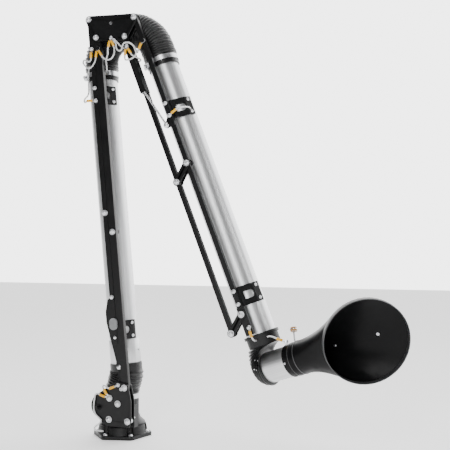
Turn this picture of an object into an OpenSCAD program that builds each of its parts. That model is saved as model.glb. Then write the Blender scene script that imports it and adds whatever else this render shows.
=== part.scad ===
// Fume extraction arm for a 75 mm duct, with two parallelogram arms and an oblique hood.
// Origin: centre of the mounting face, on the swivel and duct axis. +Z up, +X towards the hood.

/* [Duct] */
// Outside diameter of the aluminium duct tubes
duct_d = 75; // [70:1:80]
// Wall of the duct tubes
duct_wall = 1.5; // [1:0.1:2.5]
// Free space between the pivot nuts and the duct tubes
duct_gap = 1.2; // [1:0.1:5]

/* [Bars and plates] */
// Depth of the bars, front to back
bar_t = 13; // [12:0.1:14]
// Thickness of the link plates, elbow plates and cheeks
plate_t = 4; // [3:0.1:5]
// Running gap between a bar and the plates beside it
layer_gap = 0.3; // [0.3:0.05:0.8]
// Diameter of the pivot bolts
pin_d = 8; // [6:0.1:8]
// Radial play of a bar on its pivot bolt
pin_play = 0.05; // [0.02:0.01:0.09]
// Radius of the dome heads
head_r = 6.5; // [6:0.1:7]
// Height of the dome heads
head_h = 6; // [5:0.1:7]

/* [Base] */
// Bolt circle of the mounting flange
flange_pcd = 125; // [122:1:135]
// Number of flange bolts
flange_bolts_n = 6; // [6:1:6]
// Thickness of the flange under the bolt heads
flange_t = 9; // [7:0.5:11]
// Height of the fixed foot
foot_h = 30; // [27:1:31]
// Height of the turret's neck
turret_top = 92; // [90:1:96]
// Height of the carrier's pivot
lower_foot_z = 181; // [178:1:186]
// Distance of the carrier's pivot from the swivel axis
lower_foot_x = 17; // [14:1:19]

/* [Lower arm] */
// Distance between the pivots of the lower bars
lower_len = 892; // [860:1:930]
// Lean of the lower bars away from the hood, at rest
lower_lean = 5.4; // [4.4:0.1:5.8]
// Width of the carrier bar
carrier_w = 12.5; // [12:0.1:13]
// Width of the strut bar
strut_w = 19; // [17:0.1:19.4]

/* [Elbow] */
// Distance between the elbow's upper pivots
elbow_top_span = 128.4; // [124:0.2:134]
// Distance of each lower pivot inside the upper one above it
elbow_inset = 23.6; // [22:0.1:26]
// Height between the elbow's upper and lower pivots
elbow_h = 47.2; // [45:0.1:49]
// Tilt of the elbow plates towards the hood
elbow_tilt = 2.4; // [1.8:0.1:2.8]
// Height of the hose bend's centre below the elbow's upper pivots
bend_drop = 100; // [90:1:110]

/* [Outer arm] */
// Length of the beam below its pivot
outer_len = 845; // [835:1:900]
// Lean of the outer arm at rest
outer_lean = 21.15; // [19:0.05:24]
// Width of the beam and of its rod
beam_w = 12; // [11:0.1:13]
// Distance of the middle link from the beam's pivot
mid_link_s = 400; // [380:1:450]
// Length of the pull rod between its eyes
pull_len = 111; // [106:1:116]

/* [Hood] */
// Distance of the hood's corner below the outer tube
corner_drop = 67.9; // [66:0.1:76]
// Swivel of the hood towards the front, at rest
hood_swivel = 17.4; // [0:0.1:30]
// Angle between the outer tube and the hood, at rest
hood_tilt = 89.6; // [85:0.1:95]
// Length of the bare neck tube
neck_len = 72; // [66:1:80]
// Length of the cuff that holds the damper
cuff_len = 32; // [28:1:40]
// Diameter of the hood's mouth
mouth_d = 200; // [180:1:220]
// Distance of the mouth's centre from the hood's corner
mouth_x = 266; // [255:1:290]
// Turn of the mouth towards the front
mouth_yaw = 51.9; // [40:0.1:55]
// Turn of the mouth downwards
mouth_pitch = 19.8; // [5:0.1:25]

/* [Hidden] */
$fn = 64;
cut = 1;
black = "#17181a";
rubber = "#101011";
alu = "#c8cbce";
zinc = "#d9dbdd";
smooth = 32;

// Layers in front of and behind the bars' centre plane
half_t = bar_t / 2;
plate_in = half_t + layer_gap;
plate_out = plate_in + plate_t;
washer_t = 1.5;
washer_r = 8;
nut_r = 7;
nut_h = 6.5;
low_nut_h = 3;
nut_out = plate_out + nut_h;
hole_play = 0.1;
hole_d = pin_d + 2 * hole_play;
bore_d = pin_d + 2 * pin_play;
duct_r = duct_d / 2;
bar_offset = duct_r + duct_gap + nut_out;
seat = 0.1;
run_gap = 0.3;

// Turns a vector of x and z about Y
function swing(a, v) = [v.x * cos(a) + v.y * sin(a), v.y * cos(a) - v.x * sin(a)];

elbow_low_span = elbow_top_span - 2 * elbow_inset;
end_link_above = 53;
end_link_s = outer_len - end_link_above;

// Pivots of the two parallelograms, as x and z in the bars' centre plane
link = swing(elbow_tilt, [(elbow_top_span - elbow_low_span) / 2, -elbow_h]);
far_link = swing(elbow_tilt, [(elbow_low_span - elbow_top_span) / 2, -elbow_h]);
lower_foot = [lower_foot_x, lower_foot_z];
strut_foot = lower_foot + link;
lower_top = lower_foot + swing(-lower_lean, [0, lower_len]);
outer_top = lower_top + swing(elbow_tilt, [elbow_top_span, 0]);
elbow_mid = (lower_top + outer_top) / 2;
rod_top = outer_top + far_link;
rod_place = swing(outer_lean, far_link);
link_place = swing(lower_lean, link);

// Duct tubes in the arms' own frames
lower_tube_x = -7.5;
outer_tube_x = 8.5;
tube_foot = -12;
tube_ring_below = 151;
tube_ring_z = lower_len - tube_ring_below;
ring_h = 7;
ring_r = duct_r + 3;
tube_cover = 20;
lower_tube_top = tube_ring_z + ring_h + tube_cover;
outer_ring_s = 126;
outer_tube_top_s = outer_ring_s - tube_cover;
outer_tube_below = 21;
outer_tube_end_s = outer_len + outer_tube_below;

// Hoses
hose_wall = 3;
hose_play = 0.6;
hose_bore = duct_r + hose_play;
hose_valley = hose_bore + hose_wall;
rib_h = 2.8;
hose_crest = hose_valley + rib_h;
hose_sides = 20;
clamp_w = 12;
clamp_t = 1.2;
clamp_bore = hose_valley + 2 * seat;

module at_bars(at, turn) {
    translate([at.x, -bar_offset, at.y])
        rotate([0, turn, 0]) children();
}

module at_lower() {
    at_bars(lower_foot, -lower_lean) children();
}

module at_elbow() {
    at_bars(elbow_mid, elbow_tilt) children();
}

module at_outer() {
    at_bars(outer_top, -outer_lean) children();
}

module at_rod() {
    at_bars(rod_top, -outer_lean) children();
}

module at_collar() {
    at_outer()
        translate([outer_tube_x, bar_offset, -outer_tube_end_s])
            rotate([0, 0, -hood_swivel]) children();
}

module at_hood() {
    at_collar()
        translate([0, 0, -corner_drop])
            rotate([0, 90 - hood_tilt, 0]) children();
}

// A cylinder along Y
module rod_y(y0, y1, d) {
    translate([0, y0, 0])
        rotate([-90, 0, 0]) cylinder(h = y1 - y0, d = d);
}

// A plate from an outline drawn in x and z
module plate_y(y0, y1) {
    translate([0, y1, 0])
        rotate([90, 0, 0]) linear_extrude(y1 - y0) children();
}

// A tube along Z
module pipe(h, r, bore) {
    difference() {
        cylinder(h = h, r = r);
        translate([0, 0, -cut]) cylinder(h = h + 2 * cut, r = bore);
    }
}

// A dome head whose seat is at y and which points to -Y, with a hexagon socket
skirt_share = 0.25;
socket_share = 0.38;
socket_depth_share = 0.4;
module dome_head(y, r = head_r, h = head_h) {
    skirt = h * skirt_share;
    cap = h - skirt;
    ball = (r * r + cap * cap) / (2 * cap);
    translate([0, y, 0])
        rotate([90, 0, 0])
            difference() {
                intersection() {
                    cylinder(h = h, r = r);
                    translate([0, 0, h - ball]) sphere(ball);
                }
                translate([0, 0, h * (1 - socket_depth_share)])
                    cylinder(h = h, r = r * socket_share, $fn = 6);
            }
}

module washer(y0) {
    difference() {
        rod_y(y0, y0 + washer_t, 2 * washer_r);
        rod_y(y0 - cut, y0 + washer_t + cut, hole_d);
    }
}

// A bolt along Y, from its head's seat to the nut's seat
module bolt_y(head_y, nut_y, nut = nut_h, r = head_r, h = head_h) {
    dome_head(head_y, r, h);
    rod_y(head_y, nut_y + nut, pin_d);
    translate([0, nut_y, 0])
        rotate([-90, 0, 0]) cylinder(h = nut, r = nut_r, $fn = 6);
}

// A pivot bolt through a front and a back plate
module pivot_bolt() {
    bolt_y(-plate_out - washer_t, plate_out);
    washer(-plate_out - washer_t);
}

module places(list) {
    for (p = list) translate([p.x, 0, p.y]) children();
}

// Mounting flange
lobe_r = 13;
foot_low_r = 66;
foot_top_r = 60;
pocket_r = 9;
shank_more = 0.4;
bolt_low = 12;
spigot_wall = 2.2;
spigot_h = 14;
flange_turn = 15;
function bolt_angle(i) = flange_turn + 360 * i / flange_bolts_n;
function polar(r, a) = [r * cos(a), r * sin(a)];
half_side = 180 / flange_bolts_n;

module flange_outline() {
    polygon([for (i = [0:flange_bolts_n - 1]) for (k = [-1, 1])
        polar(flange_pcd / 2, bolt_angle(i)) + polar(lobe_r, bolt_angle(i) + k * half_side)]);
    for (i = [0:flange_bolts_n - 1])
        translate(polar(flange_pcd / 2, bolt_angle(i))) circle(lobe_r);
}

module mounting_flange() {
    color(black)
        difference() {
            union() {
                linear_extrude(flange_t) flange_outline();
                cylinder(h = foot_h, r1 = foot_low_r, r2 = foot_top_r);
                cylinder(h = foot_h + spigot_h, r = duct_r + spigot_wall);
            }
            translate([0, 0, -cut]) cylinder(h = foot_h + spigot_h + 2 * cut, r = duct_r);
            for (i = [0:flange_bolts_n - 1])
                translate(polar(flange_pcd / 2, bolt_angle(i))) {
                    translate([0, 0, -cut]) cylinder(h = foot_h, d = hole_d + shank_more);
                    translate([0, 0, flange_t]) cylinder(h = foot_h, r = pocket_r);
                }
        }
}

module flange_bolts() {
    color(zinc)
        for (i = [0:flange_bolts_n - 1])
            translate(polar(flange_pcd / 2, bolt_angle(i)))
                translate([0, 0, flange_t])
                    rotate([-90, 0, 0]) {
                        dome_head(0);
                        rod_y(0, flange_t, pin_d + shank_more);
                        rod_y(flange_t / 2, flange_t + bolt_low, pin_d);
                    }
}

// Swivel ring between the foot and the turret
swivel_t = 2;
swivel_r = 50;
module swivel_ring() {
    color("#3a3b3d")
        translate([0, 0, foot_h])
            pipe(swivel_t, swivel_r, duct_r + spigot_wall + run_gap);
}

// Turret housing
turret_foot = foot_h + run_gap;
turret_low_r = 58;
turret_r = 42;
turret_flare_h = 26;
turret_lip = 4;
flare_bulge_share = [0.55, 0.72];
pad_x0 = -26;
pad_x1 = 56;
pad_depth = 22;
pad_below = 6;
hose_spigot_h = 20;
spigot_r = duct_r;
spigot_bore = duct_r - 2;
module turret_housing() {
    front = -bar_offset + plate_out;
    color(black)
        difference() {
            union() {
                rotate_extrude()
                    polygon([
                        [0, turret_foot], [turret_low_r, turret_foot], [turret_low_r, turret_foot + turret_lip],
                        [turret_r + (turret_low_r - turret_r) * (1 - flare_bulge_share[1]),
                            turret_foot + turret_flare_h * flare_bulge_share[0]],
                        [turret_r, turret_foot + turret_flare_h], [turret_r, turret_top],
                        [spigot_r, turret_top], [spigot_r, turret_top + hose_spigot_h],
                        [0, turret_top + hose_spigot_h]
                    ]);
                translate([pad_x0, front, turret_foot])
                    cube([pad_x1 - pad_x0, pad_depth, turret_top - pad_below - turret_foot]);
            }
            translate([0, 0, turret_foot - cut])
                cylinder(h = turret_top + hose_spigot_h, r = spigot_bore);
            translate([0, 0, turret_foot - cut])
                cylinder(h = spigot_h + cut, r = duct_r + spigot_wall + run_gap);
            translate([0, 0, turret_foot - cut]) cylinder(h = swivel_t + cut, r = swivel_r + run_gap);
            translate([-turret_low_r - cut, front - turret_low_r, 0])
                cube([2 * (turret_low_r + cut), turret_low_r, turret_top + cut]);
            at_cheek(pad_bolts_at) rod_y(plate_out - cut, plate_out + bolt_grip, hole_d);
        }
}

// Cheeks: places in x and z, in the bars' centre plane
lobe_at = [-22, 84];
cheek_lobe_r = 33;
pad_bolts_at = [[-4.2, 51.5], [47.3, 49.4]];
plain_bolts_at = [[20.4, 91.9], [-3.2, 104.8]];
cheek_bolts_at = concat(pad_bolts_at, plain_bolts_at);
drum_at = [-34.3, 79.9];
cheek_low = 34;
cheek_low_x = [-13, 52];
cheek_side_x = 57;
cheek_side_z = [50, 100];
cheek_neck = [15, 146];
eye_r = 11;
root_eye_r = 7;
lobe_high_a = 121;
lobe_low_a = 235;
bolt_grip = 9;
bolt_end = 1;

module at_cheek(list) {
    translate([0, -bar_offset, 0]) places(list) children();
}

module cheek_outline() {
    translate(lobe_at) circle(cheek_lobe_r);
    translate(strut_foot) circle(eye_r);
    polygon([
        [cheek_low_x[0], cheek_low], [cheek_low_x[1], cheek_low], [cheek_side_x, cheek_side_z[0]],
        [cheek_side_x, cheek_side_z[1]], strut_foot + polar(eye_r, 20), strut_foot + polar(eye_r, 100),
        cheek_neck, lobe_at + polar(cheek_lobe_r, lobe_high_a), lobe_at + polar(cheek_lobe_r, lobe_low_a)
    ]);
}

module cheek_holes(y0, y1) {
    places(concat(cheek_bolts_at, [drum_at, strut_foot])) rod_y(y0, y1, hole_d);
}

module front_cheek() {
    color(black)
        translate([0, -bar_offset, 0])
            difference() {
                plate_y(-plate_out, -plate_in) cheek_outline();
                cheek_holes(-plate_out - cut, -plate_in + cut);
            }
}

module rear_outline() {
    cheek_outline();
    hull() {
        translate(lower_foot) circle(root_eye_r, $fn = smooth);
        translate(strut_foot) circle(eye_r - 1, $fn = smooth);
        translate(cheek_neck + [root_eye_r, -eye_r]) circle(root_eye_r, $fn = smooth);
    }
}

module rear_cheek() {
    color(black)
        translate([0, -bar_offset, 0])
            difference() {
                plate_y(plate_in, plate_out) rear_outline();
                cheek_holes(plate_in - cut, plate_out + cut);
                places([lower_foot]) rod_y(plate_in - cut, plate_out + cut, hole_d);
            }
}

spacer_r = 8;
cheek_ground_at = [20.8, 138.6];
module cheek_spacers() {
    at_cheek(cheek_bolts_at)
        difference() {
            rod_y(-plate_in, plate_in, 2 * spacer_r);
            rod_y(-plate_in - cut, plate_in + cut, hole_d);
        }
}

module cheek_bolts() {
    color(zinc) {
        at_cheek(cheek_bolts_at) {
            dome_head(-plate_out - washer_t);
            washer(-plate_out - washer_t);
        }
        at_cheek(pad_bolts_at) rod_y(-plate_out - washer_t, plate_out + bolt_grip, pin_d);
        at_cheek(plain_bolts_at) rod_y(-plate_out - washer_t, plate_out + bolt_end, pin_d);
        at_cheek([cheek_ground_at]) dome_head(-plate_out, head_r - 1, head_h - 1);
        cheek_spacers();
    }
}

drum_r = 19.5;
axle_out = 12;
module spring_drum() {
    color("#2c2d2f")
        translate([0, -bar_offset, 0])
            places([drum_at]) {
                difference() {
                    rod_y(-plate_in, plate_in, 2 * drum_r);
                    rod_y(-plate_in - cut, plate_in + cut, hole_d);
                }
                rod_y(-plate_out - axle_out, nut_out, pin_d);
                translate([0, -plate_out - nut_h, 0])
                    rotate([-90, 0, 0]) cylinder(h = nut_h, r = nut_r, $fn = 6);
                translate([0, plate_out, 0])
                    rotate([-90, 0, 0]) cylinder(h = nut_h, r = nut_r, $fn = 6);
            }
}

// The root plate lies in a recess at the back of the carrier
root_in = half_t - plate_t;
thin_head_h = 3;
thin_head_r = 6;
module base_pivot_bolts() {
    color(zinc) {
        at_bars(strut_foot, 0) pivot_bolt();
        at_bars(lower_foot, 0)
            bolt_y(root_in, plate_out, low_nut_h, thin_head_r, thin_head_h);
    }
}

module clamp(at_z) {
    lug_w = 10;
    lug_d = 8;
    translate([0, 0, at_z - clamp_w / 2]) {
        pipe(clamp_w, clamp_bore + clamp_t, clamp_bore);
        translate([-lug_w / 2, -clamp_bore - clamp_t - lug_d, 0])
            difference() {
                cube([lug_w, lug_d + clamp_t / 2, clamp_w]);
                translate([lug_w / 2, lug_d / 2, clamp_w / 2])
                    rotate([0, 90, 0]) cylinder(h = lug_w + cut, d = lug_d / 2, center = true);
            }
    }
}

base_clamp_turn = 50;
module base_clamp() {
    color(zinc) rotate([0, 0, base_clamp_turn]) clamp(turret_top + hose_spigot_h / 2);
}

// A ribbed hose: one closed skin over a route of x and z points, with its bore
function unit2(v) = v / norm(v);
function route_dir(path, i) =
    unit2(path[min(i + 1, len(path) - 1)] - path[max(i - 1, 0)]);
hose_front = bar_offset - plate_out - low_nut_h - run_gap;
function ring_points(c, d, r, n) = [for (k = [0:n - 1])
    [c.x + d.y * r * cos(360 * k / n), max(-hose_front, r * sin(360 * k / n)), c.y - d.x * r * cos(360 * k / n)]];

module skin(outer, inner, n) {
    a = len(outer);
    b = len(inner);
    low = a * n;
    polyhedron(
        points = concat([for (q = outer) each q], [for (q = inner) each q]),
        faces = concat(
            [for (i = [0:a - 2]) for (k = [0:n - 1]) [i * n + k, (i + 1) * n + k, (i + 1) * n + (k + 1) % n]],
            [for (i = [0:a - 2]) for (k = [0:n - 1]) [i * n + k, (i + 1) * n + (k + 1) % n, i * n + (k + 1) % n]],
            [for (i = [0:b - 2]) for (k = [0:n - 1])
                [low + i * n + k, low + i * n + (k + 1) % n, low + (i + 1) * n + (k + 1) % n]],
            [for (i = [0:b - 2]) for (k = [0:n - 1])
                [low + i * n + k, low + (i + 1) * n + (k + 1) % n, low + (i + 1) * n + k]],
            [for (k = [0:n - 1]) [k, (k + 1) % n, low + (k + 1) % n]],
            [for (k = [0:n - 1]) [k, low + (k + 1) % n, low + k]],
            [for (k = [0:n - 1]) [(a - 1) * n + k, low + (b - 1) * n + k, low + (b - 1) * n + (k + 1) % n]],
            [for (k = [0:n - 1]) [(a - 1) * n + k, low + (b - 1) * n + (k + 1) % n, (a - 1) * n + (k + 1) % n]]
        ),
        convexity = 8
    );
}

// Every second ring between the plain ends is a crest
bore_step = 4;
module ribbed_hose(path, plain_a, plain_b, end_dir) {
    last = len(path) - 1;
    dirs = [for (i = [0:last])
        i <= plain_a ? unit2(path[1] - path[0])
        : i >= last - plain_b ? end_dir
        : route_dir(path, i)];
    outer = [for (i = [0:last])
        ring_points(path[i], dirs[i],
            i < plain_a || i > last - plain_b || (i - plain_a) % 2 == 0 ? hose_valley : hose_crest,
            hose_sides)];
    bore_rings = concat([0], [for (i = [1:bore_step:last - 2]) i], plain_b == 0 ? [last] : [last - 1, last]);
    skin(outer, [for (i = bore_rings) ring_points(path[i], dirs[i], hose_bore, hose_sides)], hose_sides);
}

function bezier(p, t) =
    p[0] * pow(1 - t, 3) + 3 * p[1] * t * pow(1 - t, 2) + 3 * p[2] * t * t * (1 - t) + p[3] * pow(t, 3);

// Base hose, from the turret's spigot to the lower tube
base_ribs = 8;
base_cuff_top = 6;
base_hose_a = [0, turret_top + run_gap];
base_hose_b = lower_foot + swing(-lower_lean, [lower_tube_x, base_cuff_top]);
base_route = [
    base_hose_a + [0, hose_spigot_h],
    base_hose_a + [0, 2 * hose_spigot_h],
    base_hose_b - swing(-lower_lean, [0, 2 * hose_spigot_h]),
    base_hose_b - swing(-lower_lean, [0, hose_spigot_h])
];
module base_hose() {
    color(rubber)
        ribbed_hose(concat([base_hose_a],
            [for (i = [0:2 * base_ribs]) bezier(base_route, i / (2 * base_ribs))], [base_hose_b]), 1, 1,
            swing(-lower_lean, [0, 1]));
}

// Carrier bar and its root plate
carrier_end = 58;
carrier_ground_below = 76.2;
root_top = 182;
root_places = [[-6.2, 182], [-18, 171], [-26, 142], [-26, 114], [-7.2, 16]];
carrier_r = carrier_w / 2;
mid_pivot_below = 500;
mid_pivot = lower_len - mid_pivot_below;
bracket_pitch = 32.6;
low_bracket_z = 92;
top_bracket_below = 194;
lower_bracket_z = [low_bracket_z, lower_len - top_bracket_below];
carrier_screw_z = [lower_bracket_z[0] - bracket_pitch / 2, 177.6];
small_d = 5;
small_head_r = 4.2;
small_head_h = 3.5;

module bar_bolt_holes(list) {
    for (z = list) for (k = [-1, 1])
        translate([0, 0, z + k * bracket_pitch / 2]) rod_y(-half_t - cut, half_t + cut, small_d + 2 * hole_play);
}

module carrier_bar() {
    color(black)
        at_lower()
            difference() {
                union() {
                    translate([-carrier_r, -half_t, carrier_end])
                        cube([carrier_w, bar_t, lower_len - carrier_end]);
                    translate([0, 0, lower_len]) rod_y(-half_t, half_t, carrier_w);
                }
                translate([-carrier_r - cut, root_in, carrier_end - cut])
                    cube([carrier_w + 2 * cut, plate_t + cut, root_top - carrier_end + cut]);
                for (z = [mid_pivot, lower_len]) translate([0, 0, z]) rod_y(-half_t - cut, half_t + cut, bore_d);
                bar_bolt_holes(lower_bracket_z);
                translate([0, 0, carrier_screw_z[1]]) rod_y(-half_t - cut, half_t + cut, small_d + 2 * hole_play);
            }
}

module carrier_root_plate() {
    color(black)
        at_lower()
            difference() {
                plate_y(root_in, half_t) {
                    circle(root_eye_r);
                    polygon(concat([[carrier_r, 0], [carrier_r, root_top]], root_places, [[-root_eye_r, 0]]));
                }
                rod_y(root_in - cut, half_t + cut, bore_d);
                bar_bolt_holes([lower_bracket_z[0]]);
                translate([0, 0, carrier_screw_z[1]]) rod_y(root_in - cut, half_t + cut, small_d + 2 * hole_play);
            }
}

// Oval rubber pad on the carrier's front
pad_z = 110;
pad_w = 21;
pad_h = 30;
pad_t = 5;
module stop_pad() {
    color("#6d6f72")
        at_lower()
            translate([0, 0, pad_z])
                plate_y(-half_t - pad_t - seat, -half_t - seat)
                    for (k = [-1, 1]) translate([0, k * (pad_h - pad_w) / 2]) {
                        circle(d = pad_w);
                        translate([-pad_w / 2, -k * (pad_h - pad_w) / 2]) square([pad_w, (pad_h - pad_w) / 2]);
                    }
}

module small_bolt(head_y, end_y) {
    dome_head(head_y, small_head_r, small_head_h);
    rod_y(head_y, end_y, small_d);
}

module carrier_screws() {
    translate([0, 0, carrier_screw_z[1]]) {
        dome_head(-half_t, head_r - 1, head_h - 1);
        rod_y(-half_t, half_t, small_d);
    }
    translate([0, 0, carrier_screw_z[0]]) small_bolt(-half_t, half_t + bracket_t);
    translate([0, 0, carrier_screw_z[0] + bracket_pitch]) rod_y(-half_t, half_t + bracket_t, small_d);
    translate([0, 0, lower_len - carrier_ground_below]) dome_head(-half_t, head_r - 1, head_h - 1);
}

// Duct tube with holes for its bracket bolts
tube_bolt_a = 62;
module tube_holes(list) {
    for (z = list) for (k = [-1, 1])
        translate([0, 0, z + k * bracket_pitch / 2])
            rotate([0, 0, tube_bolt_a])
                rod_y(-duct_r - cut, -duct_r + 2 * duct_wall + cut, small_d + 2 * hole_play);
}

module lower_tube() {
    color(alu)
        at_lower()
            translate([lower_tube_x, bar_offset, 0])
                difference() {
                    translate([0, 0, tube_foot]) pipe(lower_tube_top - tube_foot, duct_r, duct_r - duct_wall);
                    tube_holes(lower_bracket_z);
                }
}

sleeve_z = [8, 66];
sleeve_t = 2;
bump_r = 3;
bump_out = 3;
module lower_sleeve() {
    color(alu)
        at_lower()
            translate([lower_tube_x, bar_offset, 0]) {
                translate([0, 0, sleeve_z[0]])
                    pipe(sleeve_z[1] - sleeve_z[0], duct_r + sleeve_t, duct_r + seat);
                translate([duct_r + sleeve_t - seat, 0, (sleeve_z[0] + sleeve_z[1]) / 2])
                    rotate([0, 90, 0]) cylinder(h = bump_out, r = bump_r);
            }
}

module lower_tube_ring() {
    color(rubber)
        at_lower()
            translate([lower_tube_x, bar_offset, tube_ring_z]) pipe(ring_h, ring_r, duct_r + seat);
}

lower_clamp_turn = -75;
module lower_clamps() {
    color(zinc)
        at_lower()
            translate([lower_tube_x, bar_offset, 0])
                rotate([0, 0, lower_clamp_turn]) clamp(tube_ring_z + ring_h + tube_cover / 2);
}

// Brackets between a bar and the tube behind it: a flat foot, then faces that touch the tube
bracket_t = 3;
bracket_len = 48;
foot_y = bar_offset - half_t - bracket_t;
window_h = 19;
lower_angles = [0, tube_bolt_a];
outer_angles = [0, 37.4, tube_bolt_a];
lower_flat_from = -3;
outer_flat_from = -18.5;
bracket_tail = 10;
lower_window = [-26, -7];
outer_window = [-21, 7];
function facing(a) = [sin(a), -cos(a)];
function meet(n, d, m, e) = let (k = n.x * m.y - n.y * m.x) [(d * m.y - e * n.y) / k, (n.x * e - m.x * d) / k];
function face_d(i) = i == 0 ? foot_y : duct_r + seat;
function bracket_edge(list, from, t) = let (last = len(list) - 1) concat(
    [[from, -foot_y - t]],
    [for (i = [0:last - 1]) meet(facing(list[i]), face_d(i) + t, facing(list[i + 1]), face_d(i + 1) + t)],
    [facing(list[last]) * (duct_r + seat + t) + bracket_tail * [cos(list[last]), sin(list[last])]]
);
function backwards(list) = [for (i = [len(list) - 1:-1:0]) list[i]];

module bracket(list, from, window, window_a) {
    difference() {
        translate([0, 0, -bracket_len / 2])
            linear_extrude(bracket_len)
                polygon(concat(bracket_edge(list, from, bracket_t), backwards(bracket_edge(list, from, 0))));
        rotate([0, 0, window_a])
            plate_y(-duct_r - 2 * bracket_t - cut, -duct_r + cut) {
                translate([window[0], -window_h / 2]) square([window[1] - window[0] - window_h / 2, window_h]);
                translate([window[1] - window_h / 2, 0]) circle(d = window_h);
            }
        for (k = [-1, 1]) translate([0, 0, k * bracket_pitch / 2])
            rotate([0, 0, tube_bolt_a])
                rod_y(-duct_r - bracket_t - cut, -duct_r + cut, small_d + 2 * hole_play);
    }
}

// Bolts that hold a bracket to the tube
module tube_bolts(list) {
    for (z = list) for (k = [-1, 1])
        translate([0, 0, z + k * bracket_pitch / 2])
            rotate([0, 0, tube_bolt_a])
                small_bolt(-duct_r - seat - bracket_t, -duct_r + duct_wall);
}

module lower_brackets() {
    color(black)
        at_lower()
            difference() {
                translate([lower_tube_x, bar_offset, 0])
                    for (z = lower_bracket_z)
                        translate([0, 0, z]) bracket(lower_angles, lower_flat_from, lower_window, tube_bolt_a);
                for (z = lower_bracket_z) for (k = [-1, 1])
                    translate([0, 0, z + k * bracket_pitch / 2])
                        rod_y(half_t - cut, half_t + bracket_t + cut, small_d + 2 * hole_play);
            }
}

module lower_bracket_bolts() {
    color(zinc)
        at_lower() {
            translate([lower_tube_x, bar_offset, 0]) tube_bolts(lower_bracket_z);
            for (k = [-1, 1])
                translate([0, 0, lower_bracket_z[1] + k * bracket_pitch / 2]) {
                    dome_head(-half_t, head_r - 1, head_h - 1);
                    rod_y(-half_t, half_t + bracket_t, small_d);
                }
            carrier_screws();
        }
}

// Strut bar, a little thinner than the carrier, with its ground screw
strut_play = 0.3;
strut_ground_below = 26.9;
strut_r = strut_w / 2;
module strut_bar() {
    t = half_t - strut_play;
    color(black)
        at_bars(strut_foot, -lower_lean)
            difference() {
                union() {
                    translate([-strut_r, -t, 0]) cube([strut_w, 2 * t, lower_len]);
                    for (z = [0, lower_len]) translate([0, 0, z]) rod_y(-t, t, strut_w);
                    translate([0, 0, lower_len - strut_ground_below]) rod_y(-t - small_head_h, 0, 2 * small_head_r);
                }
                for (z = [0, mid_pivot, lower_len]) translate([0, 0, z]) rod_y(-t - cut, t + cut, bore_d);
            }
}

// A link plate between two eyes
link_end_r = 10;
link_mid_w = 17;
module link_outline(to) {
    a = atan2(to.y, to.x);
    for (p = [[0, 0], to]) translate(p) circle(link_end_r);
    rotate(a) translate([0, -link_mid_w / 2]) square([norm(to), link_mid_w]);
}

module link_plate(y0, y1, to) {
    difference() {
        plate_y(y0, y1) link_outline(to);
        places([[0, 0], to]) rod_y(y0 - cut, y1 + cut, hole_d);
    }
}

module at_mid_pivot() {
    at_bars(lower_foot + swing(-lower_lean, [0, mid_pivot]), 0) children();
}

module lower_link() {
    color(black) at_mid_pivot() link_plate(plate_in, plate_out, link);
}

module lower_link_bolts() {
    color(zinc)
        at_mid_pivot()
            places([[0, 0], link]) {
                bolt_y(-half_t - washer_t - layer_gap, plate_out);
                washer(-half_t - washer_t - layer_gap);
            }
}

// Elbow plates
elbow_edge_r = 9.5;
elbow_top_half = elbow_top_span / 2;
elbow_low_half = elbow_low_span / 2;
elbow_pivots = [[-elbow_top_half, 0], [elbow_top_half, 0], [elbow_low_half, -elbow_h], [-elbow_low_half, -elbow_h]];
elbow_spacers_at = [[0, -12], [3, -50]];
elbow_spacer_r = 6.4;
module elbow_plate(y0, y1) {
    difference() {
        plate_y(y0, y1)
            hull() for (p = elbow_pivots) translate(p) circle(elbow_edge_r, $fn = smooth);
        places(concat(elbow_pivots, elbow_spacers_at)) rod_y(y0 - cut, y1 + cut, hole_d);
    }
}

module elbow_front_plate() {
    color(black) at_elbow() elbow_plate(-plate_out, -plate_in);
}

module elbow_back_plate() {
    color(black) at_elbow() elbow_plate(plate_in, plate_out);
}

module elbow_spacers() {
    places(elbow_spacers_at) {
        difference() {
            rod_y(-plate_in, plate_in, 2 * elbow_spacer_r);
            rod_y(-plate_in - cut, plate_in + cut, hole_d);
        }
        rod_y(-plate_out, plate_out, pin_d);
    }
}

module elbow_pivot_bolts() {
    color(zinc) {
        at_elbow()
            places(elbow_pivots) {
                bolt_y(-plate_out - washer_t, plate_out, low_nut_h);
                washer(-plate_out - washer_t);
            }
        at_elbow() places([elbow_spacers_at[1]]) dome_head(-plate_out, head_r - 1, head_h - 1);
        at_elbow() elbow_spacers();
    }
}

// Elbow hose: a straight run up the lower tube, a bend that touches both tube axes, a run down the outer tube
lower_side = swing(-lower_lean, [1, 0]);
outer_side = swing(-outer_lean, [1, 0]);
hose_low_end = lower_foot + swing(-lower_lean, [lower_tube_x, tube_ring_z + ring_h + run_gap]);
hose_out_end = outer_top + swing(-outer_lean, [outer_tube_x, run_gap - outer_ring_s]);
bend_z = elbow_mid.y - bend_drop;
bend_x = (hose_low_end * lower_side + hose_out_end * outer_side - bend_z * (lower_side.y + outer_side.y))
    / (lower_side.x + outer_side.x);
bend_at = [bend_x, bend_z];
bend_r = (bend_at - hose_low_end) * lower_side;
bend_a0 = 180 + lower_lean;
bend_a1 = outer_lean;
bend_top_a = 95;
elbow_ribs = 21;
function arc_points(a0, a1, n) = [for (i = [0:n]) bend_at + polar(bend_r, a0 + (a1 - a0) * i / n)];
function line_points(p, q, n) = [for (i = [0:n - 1]) p + (q - p) * i / n];

// The plain cuff, then points along the straight run and the arc, equally spaced by count
low_run = norm(bend_at + polar(bend_r, bend_a0) - hose_low_end) - tube_cover;
low_arc = bend_r * (bend_a0 - bend_top_a) * PI / 180;
out_run = norm(bend_at + polar(bend_r, bend_a1) - hose_out_end) - tube_cover;
out_arc = bend_r * (bend_top_a - bend_a1) * PI / 180;
function share_count(run, arc) = max(1, round(2 * elbow_ribs * run / (run + arc)));

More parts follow.
